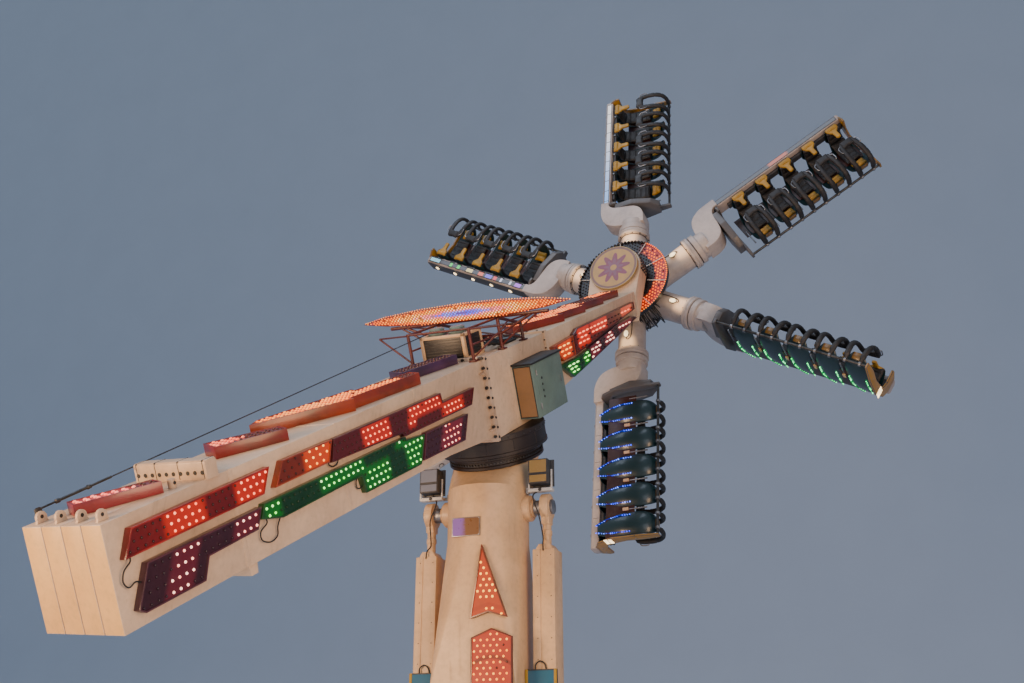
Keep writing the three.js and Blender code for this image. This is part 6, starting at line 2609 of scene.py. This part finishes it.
@dataclass
class GondolaKit:
    """Everything that the six gondolas share, made once in the gondola's own frame."""

    count: int = 5
    first: float = 3.17
    pitch: float = 0.62
    beam_end: float = 5.972
    parts: Dict[str, bpy.types.Mesh] = field(default_factory=dict)

    def row(self, mesh: bpy.types.Mesh, finish: Finish) -> bpy.types.Mesh:
        """Five copies of one seat's part along the row."""
        made = SeatRow().run(mesh, finish, Count=self.count, First=self.first, Pitch=self.pitch)
        made.shade_smooth()
        return made

    def build(self) -> None:
        """Makes all the shared parts."""
        self.parts["yoke"] = self.yoke()
        self.parts["guard"] = self.guard()
        self.parts["frame"] = self.seat_frame()
        self.parts["shells"] = self.row(SeatShell().make(), SHELL)
        back = bent(PadMaker(0.37, 0.60, 0.050, channels=(-0.28, -0.06, 0.16, 0.36)).make(),
                    [(-0.225, -0.375), (-0.290, -0.23), (-0.345, -0.06), (-0.350, 0.10),
                     (-0.335, 0.27)], 0.030)
        pan = bent(PadMaker(0.36, 0.40, 0.056, channels=(-0.2, 0.15)).make(),
                   [(0.185, -0.400), (0.06, -0.425), (-0.08, -0.440), (-0.205, -0.405)], 0.036)
        self.parts["pads"] = self.row(merged([back, pan]), BLACK_PAD)
        head = bent(PadMaker(0.31, 0.27, 0.064, channels=(0.0,)).make(),
                    [(-0.355, 0.33), (-0.335, 0.46), (-0.275, 0.565)], 0.036)
        nose = bent(PadMaker(0.30, 0.17, 0.05).make(),
                    [(0.192, -0.50), (0.212, -0.43), (0.195, -0.365)], -0.022)
        post = self.crotch_post()
        self.parts["yellow"] = self.row(merged([head, nose, post]), YELLOW_PAD)
        self.parts["hoops"] = self.row(self.hoops(), BLACK_PAD)
        self.parts["bars"] = self.bars()

    def crotch_post(self) -> bpy.types.Mesh:
        """The narrow padded post between a rider's knees."""
        piece = Piece("post", WORLD)
        piece.slab([(-0.15, -0.47), (0.15, -0.47), (0.12, -0.36), (0.055, -0.30), (0.05, -0.13),
                    (0.0, -0.115), (-0.05, -0.13), (-0.055, -0.30), (-0.12, -0.36)],
                   0.135, 0.195, "xz", 0.022, rounds=4)
        return piece.plain()

    def yoke(self) -> bpy.types.Mesh:
        """Collar, tube, swan-neck and beam."""
        piece = Piece("yoke", WORLD, STAR_PAINT, DARK_STEEL)
        piece.lathe([(0.2, 1.6003), (0.357, 1.6003), (0.365, 1.608), (0.365, 1.66), (0.35, 1.672),
                     (0.318, 1.675), (0.318, 1.69), (0.345, 1.70), (0.345, 1.80), (0.335, 1.815),
                     (0.305, 1.82), (0.30, 1.83), (0.30, 1.97), (0.28, 2.02), (0.15, 2.05)],
                    ORIGIN, ALONG, 64)
        piece.lathe([(0.3175, 1.676), (0.326, 1.678), (0.326, 1.688), (0.3175, 1.69)],
                    ORIGIN, ALONG, 64, 1)
        outer = [p[:2] for p in curve_through([(1.91, -0.28, 0), (1.95, -0.45, 0), (2.03, -0.60, 0),
                                               (2.16, -0.70, 0), (2.34, -0.76, 0),
                                               (2.52, -0.77, 0)], 4)]
        inner = [p[:2] for p in curve_through([(2.60, -0.575, 0), (2.525, -0.51, 0),
                                               (2.475, -0.38, 0), (2.445, -0.12, 0),
                                               (2.40, 0.08, 0), (2.29, 0.225, 0), (2.12, 0.29, 0),
                                               (1.91, 0.298, 0)], 4)]
        outline = outer + [(2.70, -0.77), (2.70, -0.575)] + inner
        piece.slab(outline, -0.21, 0.21, "xz", 0.10, 0, rounds=6)
        half, top, low = 0.15, -0.57, -0.77
        piece.slab([(-half, low + 0.05), (-half + 0.06, low), (half - 0.06, low),
                    (half, low + 0.05), (half, top), (-half, top)], 2.55, self.beam_end, "yz",
                   0.018, rounds=3)
        for k in range(4):
            x = self.first + (k + 0.5) * self.pitch
            piece.box((x - 0.004, -half - 0.002, low + 0.06),
                      (x + 0.004, half + 0.002, top - 0.02), 0.001, 1)
        return piece.finished()

    def guard(self) -> bpy.types.Mesh:
        """The grey guard beside the first seat and the two end plates."""
        tip = Moulded("Tip plate", tone=(0.30, 0.155, 0.012), gloss=0.35, coat=0.3)
        piece = Piece("guard", WORLD, WEDGE_GREY, tip, STEEL, LAMP_BODY)
        wedge = [(-0.23, -0.40), (-0.12, -0.44), (0.20, -0.42), (0.25, 0.0), (0.12, 0.44),
                 (-0.06, 0.60), (-0.33, 0.56), (-0.42, 0.12)]
        piece.slab(wedge, 2.45, 2.598, "yz", 0.014, 0)
        plate = [(-0.15, -0.63), (0.15, -0.63), (0.23, -0.47), (0.215, -0.38), (-0.06, -0.40),
                 (-0.22, -0.33), (-0.30, 0.10), (-0.27, 0.42), (-0.30, 0.78), (-0.42, 0.78),
                 (-0.47, 0.30), (-0.47, -0.20), (-0.33, -0.52)]
        piece.slab(plate, 2.602, 2.66, "yz", 0.010, 0)
        piece.slab(plate, 5.93, self.beam_end, "yz", 0.010, 1)
        for x in (2.66, 5.93):
            side = 1 if x < 4 else -1
            piece.rod((x - side * 0.01, *SHAFT), (x, *SHAFT), 0.045, 20, 2)
        for y, z in ((-0.10, -0.5), (0.10, -0.5), (-0.36, -0.1), (-0.38, 0.3)):
            piece.rod((self.beam_end - 0.004, y, z), (self.beam_end + 0.006, y, z), 0.014, 8, 2,
                      0.002)
        return piece.finished()

    def seat_frame(self) -> bpy.types.Mesh:
        """The rail under the seats, the brackets, and the panels between the shells."""
        piece = Piece("frame", WORLD, LAMP_BODY, GAP_PANEL, STEEL, SHELL_BAND, CREAM)
        x0, x1 = 2.90, 5.92
        piece.box((x0, -0.10, -0.5697), (x1, 0.04, -0.50), 0.008, 0)
        piece.box((2.80, -0.372, -0.34), (5.92, -0.356, 0.26), 0.003, 1)
        for k in range(self.count):
            x = self.first + k * self.pitch
            for dx in (-0.11, 0.11):
                piece.box((x + dx - 0.02, -0.13, -0.565), (x + dx + 0.02, 0.07, -0.515), 0.006, 2)
            piece.slab([(-0.120, 0.690), (-0.198, 0.692), (-0.262, 0.668), (-0.256, 0.650),
                        (-0.195, 0.674), (-0.122, 0.676)], x - 0.085, x + 0.085, "yz", 0.003, 3)
        for k in range(self.count + 1):
            x = self.first + (k - 0.5) * self.pitch
            x = min(max(x, 2.84), 5.90)
            piece.rod((x, -0.362, 0.10), (x, -0.362, 0.52), 0.016, 12, 2)
            if 0 < k < self.count:
                piece.box((x - 0.030, -0.405, 0.02), (x + 0.030, -0.372, 0.14), 0.006, 4)
        return piece.finished()

    def hoops(self) -> bpy.types.Mesh:
        """One seat's restraint: two padded shoulder tubes joined by a chest pad."""
        piece = Piece("hoops", WORLD)
        for side in (-1, 1):
            knots = [(side * 0.150, -0.345, 0.735), (side * 0.158, -0.25, 0.757),
                     (side * 0.168, -0.14, 0.762), (side * 0.176, -0.03, 0.735),
                     (side * 0.182, 0.06, 0.672), (side * 0.184, 0.125, 0.56),
                     (side * 0.178, 0.16, 0.42), (side * 0.162, 0.172, 0.25),
                     (side * 0.130, 0.178, 0.11)]
            self.swollen(piece, curve_through(knots, 6))
        chest = PadMaker(0.29, 0.20, 0.062, channels=(0.0,), ratio=0.045).make()
        upright = Matrix.Rotation(math.pi / 2, 4, "X")
        chest.transform(Matrix.Translation((0, 0.186, 0.165)) @ upright)
        piece.mesh(chest)
        return piece.plain()

    def swollen(self, piece: Piece, path: Sequence[Point3]) -> None:
        """A padded tube that is drawn in at its sewn rings."""
        part = bmesh.new()
        sides = 12
        points = [Vector(p) for p in path]
        rings = []
        for i, point in enumerate(points):
            ahead = points[min(i + 1, len(points) - 1)] - points[max(i - 1, 0)]
            tangent = ahead.normalized()
            across = Vector((1, 0, 0))
            across = (across - tangent * across.dot(tangent)).normalized()
            up = tangent.cross(across)
            share = i / (len(points) - 1)
            radius = 0.026 + 0.025 * min(1.0, share * 6) * min(1.0, (1.05 - share) * 8)
            pinch = 1.0 - 0.16 * math.exp(-((share * 7) % 1.0 - 0.5) ** 2 / 0.006)
            ring = []
            for k in range(sides):
                angle = FULL_TURN * k / sides
                ring.append(part.verts.new(point + pinch * radius * (
                    across * 1.15 * math.cos(angle) + up * 0.85 * math.sin(angle))))
            rings.append(ring)
        skin(part, *rings)
        cap(part, rings[0], rings[-1])
        piece.take(part)

    def bars(self) -> bpy.types.Mesh:
        """The shaft with its hubs, the steel arms and the grab handles."""
        piece = Piece("bars", WORLD, DARK_STEEL, STEEL, BLACK_PAD)
        piece.rod((2.6605, *SHAFT), (5.9295, *SHAFT), 0.028, edge=0.003)
        for k in range(self.count):
            x = self.first + k * self.pitch
            for side in (-1, 1):
                piece.rod((x + side * 0.125, *SHAFT), (x + side * 0.175, *SHAFT), 0.046, 20, 1)
                piece.tube(curve_through([
                    (x + side * 0.20, 0.180, 0.36), (x + side * 0.232, 0.205, 0.34),
                    (x + side * 0.238, 0.205, 0.27), (x + side * 0.225, 0.200, 0.19),
                    (x + side * 0.15, 0.190, 0.15)], 5), 0.0125, 8, 1)
        return piece.finished()


@dataclass
class Gondola:
    """One gondola: the shared parts set on its arm, and its own lights."""

    look: GondolaLook
    kit: GondolaKit

    def put(self, part: str, name: str, rides: str, *replaced: str,
            slot: str = "") -> bpy.types.Object:
        """Copies a shared part into this gondola's place and returns it."""
        mesh = self.kit.parts[part].copy()
        mesh.transform(GONDOLAS[self.look.tag].matrix)
        mesh.name = f"{name}_{self.look.tag}"
        made = stood(mesh.name, mesh)
        enlist(made, rides, replaced)
        return made

    def build(self) -> None:
        """Sets the parts in place and lights them."""
        tag = self.look.tag
        body = f"gondola_{tag}"
        self.put("yoke", "yoke_beam", body, f"yoke_{tag}", slot="boom_cream")
        self.put("guard", "row_end_plates", body, slot="boom_cream")
        self.put("frame", "seat_rail", body)
        self.put("shells", "seat_shells", body, f"seats_{tag}", slot="seat_shell")
        self.put("pads", "seat_pads", body)
        self.put("yellow", "head_pads", body)
        hoops = self.put("hoops", "restraint_pads", f"restraint_{tag}", f"harness_{tag}",
                         slot="harness_black")
        self.put("bars", "restraint_bars", f"restraint_{tag}")
        self.light_arcs()
        self.light_strip()
        self.light_beam()

    def light_arcs(self) -> None:
        """Two strips of small lamps on the back of every shell."""
        tag = self.look.tag
        axes = GONDOLAS[tag].matrix
        lamps = Bulb(f"Arc lamps {tag}", glass=(0.02, 0.03, 0.04), light=self.look.arcs[0],
                     core=self.look.arcs[1], power=3.4)
        tape = LampBox(f"Arc tape {tag}", tone=tuple(0.05 * c for c in self.look.arcs[0]),
                       glow=self.look.arcs[0], zones=((-99.0, 99.0, -99.0, 99.0),), power=0.5)
        strips = Piece(f"seat_arc_tape_{tag}", GONDOLAS[tag], tape)
        shell = SeatShell()
        paths = []
        for k in range(self.kit.count):
            x = self.kit.first + k * self.kit.pitch
            for across in (-0.66, 0.66):
                dashes = shell.lamp_lines(across)
                for dash in dashes:
                    paths.append([(x + p[0], p[1], p[2]) for p in dash])
                whole = [(x + p[0], p[1], p[2]) for dash in dashes for p in dash]
                strips.tube(whole, 0.021, 6, flat=0.25)
        mesh = PathRow().run(path_mesh(paths), lamps, Spacing=0.042, Radius=0.014,
                             Way=(0.0, -1.0, 0.0), Lit=1.0, Jitter=0.2)
        settle(f"seat_arc_lamps_{tag}", mesh, axes, f"gondola_{tag}")
        strips.deliver(f"gondola_{tag}")

    def light_strip(self) -> None:
        """The strip along the beam's front face."""
        tag = self.look.tag
        strip = StripFace(f"Strip {tag}", kind=self.look.strip, tag=tag)
        piece = Piece(f"beam_strip_{tag}", GONDOLAS[tag], LAMP_BODY, strip)
        piece.slab([(2.66, -0.715), (5.90, -0.715), (5.90, -0.595), (2.66, -0.595)],
                   0.148, 0.160, "xz", 0.003, 0, 0.008, 0.002, 1)
        if self.look.strip is StripKind.COLOURS:
            piece.slab([(0.147, -0.769), (-0.147, -0.769), (-0.147, -0.776), (0.147, -0.776)],
                       2.66, 5.92, "yz", 0.002, 0)
            for x0, x1 in ((2.80, 3.06), (3.40, 4.02), (4.04, 4.24), (4.38, 4.66), (4.82, 4.98),
                           (5.08, 5.24), (5.52, 5.91)):
                piece.box((x0, 0.150, -0.725), (x1, 0.168, -0.717), 0.002)
                piece.box((x0, 0.150, -0.593), (x1, 0.168, -0.585), 0.002)
        piece.deliver(f"gondola_{tag}")

    def light_beam(self) -> None:
        """Lamps on the beam's outer face and at its tip."""
        tag = self.look.tag
        kit = self.kit
        lit = Lens("Beam lens", power=3.5)
        plain = Moulded("Beam lens off", tone=(0.30, 0.29, 0.27), gloss=0.1, coat=0.8)
        piece = Piece(f"beam_lamps_{tag}", GONDOLAS[tag], LAMP_BODY,
                      lit if self.look.beam_lamps else plain, lit)
        for k in range(kit.count):
            x = kit.first + k * kit.pitch
            for slot, profile in enumerate((
                    [(0.062, 0.0), (0.062, 0.012), (0.052, 0.018)],
                    [(0.053, 0.012), (0.046, 0.030), (0.028, 0.040), (0.0, 0.043)])):
                piece.lathe(profile, (x, 0, -0.769), (0, 0, -1), 20, slot)
        for z0, z1 in ((-0.34, -0.27), (-0.25, -0.18)):
            piece.box((kit.beam_end - 0.004, -0.46, z0), (kit.beam_end + 0.006, -0.27, z1),
                      0.004, 2)
        piece.deliver(f"gondola_{tag}")


@dataclass
class Studio:
    """Camera, floor, backdrop and lights."""

    eye: Point3 = (6.696, -17.125, 2.717)
    yaw: float = 20.17
    pitch: float = 21.14
    focal: float = 1144.83
    width: float = 1024.0
    floor_near: float = -80.0
    floor_far: float = 48.0
    floor_half: float = 170.0
    sweep: float = 12.0
    wall: float = 130.0

    def build(self) -> None:
        """Sets up everything around the object."""
        self.build_camera()
        self.build_ground()
        self.build_lights()

    def build_camera(self) -> None:
        """The camera at the viewing angle fitted to the photograph."""
        data = bpy.data.cameras.new("Camera")
        data.sensor_width = 36.0
        data.lens = self.focal / self.width * data.sensor_width
        data.clip_end = 400.0
        camera = stood("Camera", data)
        turn = Matrix.Rotation(math.radians(self.yaw), 4, "Z")
        turn = turn @ Matrix.Rotation(math.radians(90 + self.pitch), 4, "X")
        camera.matrix_world = Matrix.Translation(self.eye) @ turn
        bpy.context.scene.camera = camera

    def build_ground(self) -> None:
        """A pale floor that rises into a backdrop behind the object."""
        part = bmesh.new()
        rows = [(self.floor_near, 0.0), (self.floor_far, 0.0)]
        for k in range(1, 13):
            angle = math.radians(7.5 * k)
            rows.append((self.floor_far + self.sweep * math.sin(angle),
                         self.sweep - self.sweep * math.cos(angle)))
        rows.append((self.floor_far + self.sweep, self.wall))
        lines = [[part.verts.new((x, y, z - 0.001)) for x in (-self.floor_half, self.floor_half)]
                 for y, z in rows]
        for first, second in zip(lines, lines[1:]):
            part.faces.new((first[0], first[1], second[1], second[0]))
        mesh = poured(part, "floor")
        mesh.shade_smooth()
        mesh.materials.append(StudioFloor("Floor").material())
        stood("floor", mesh)

    def lamp(self, name: str, spot: Point3, aim: Point3, size: float, power: float,
             colour: Colour) -> None:
        """One soft square light."""
        data = bpy.data.lights.new(name, "AREA")
        data.shape = "SQUARE"
        data.size = size
        data.energy = power
        data.color = colour
        way = Vector(aim) - Vector(spot)
        stood(name, data).matrix_world = (
            Matrix.Translation(spot) @ way.to_track_quat("-Z", "Y").to_matrix().to_4x4())

    def build_lights(self) -> None:
        """Warm light from low in front on both sides, cool light above and in front, a dim sky."""
        middle, warm = (0.0, 0.0, 8.0), (1.0, 0.62, 0.34)
        self.lamp("warm_front", (-11.0, -19.0, 4.2), (-0.5, -3.0, 6.0), 6.0, 4200.0, warm)
        self.lamp("cool_top", (-4.0, -4.0, 27.0), middle, 16.0, 2200.0, (0.72, 0.82, 1.0))
        self.lamp("cool_front", (12.0, -22.0, 12.0), middle, 14.0, 900.0, (0.82, 0.88, 1.0))
        self.lamp("warm_side", (15.0, -13.0, 5.0), (0.0, -4.0, 7.0), 8.0, 2100.0, warm)
        world = bpy.data.worlds.new("Sky")
        world.use_nodes = True
        sky = world.node_tree.nodes["Background"]
        sky.inputs[0].default_value = (0.52, 0.60, 0.72, 1.0)
        sky.inputs[1].default_value = 0.5
        bpy.context.scene.world = world


@dataclass(frozen=True)
class StudioFloor(Finish):
    """Plain pale matte floor and backdrop."""

    tone: Colour = (0.64, 0.72, 0.84)

    def lay(self, board: Board) -> Dict[str, Any]:
        """The values and wires for the shader's sockets."""
        cloud = board.noise(board.place(), 0.25, 3.0)
        dark = tuple(0.93 * c for c in self.tone)
        return {
            "Base Color": board.mix(cloud, self.tone, dark), "Roughness": cloud * 0.1 + 0.8}


def main() -> None:
    """Builds the ride from the ground up, then the studio around it."""
    logging.basicConfig(level=logging.INFO, format="%(name)s: %(message)s")
    TowerBase().build()
    TowerColumn().build()
    for side in (-1, 1):
        SideStrut(side).build()
    SlewingParts().build()
    Counterweight().build()
    BoomBox().build()
    for flank in Flank:
        FlankLights(flank).build()
    TopLights().build()
    ControlCabinet().build()
    DriveUnit().build()
    NameSign().build()
    StayCable().build()
    BoomHead().build()
    Star().build()
    kit = GondolaKit()
    kit.build()
    for look in LOOKS:
        Gondola(look, kit).build()
    Studio().build()


if __name__ == "__main__":
    main()
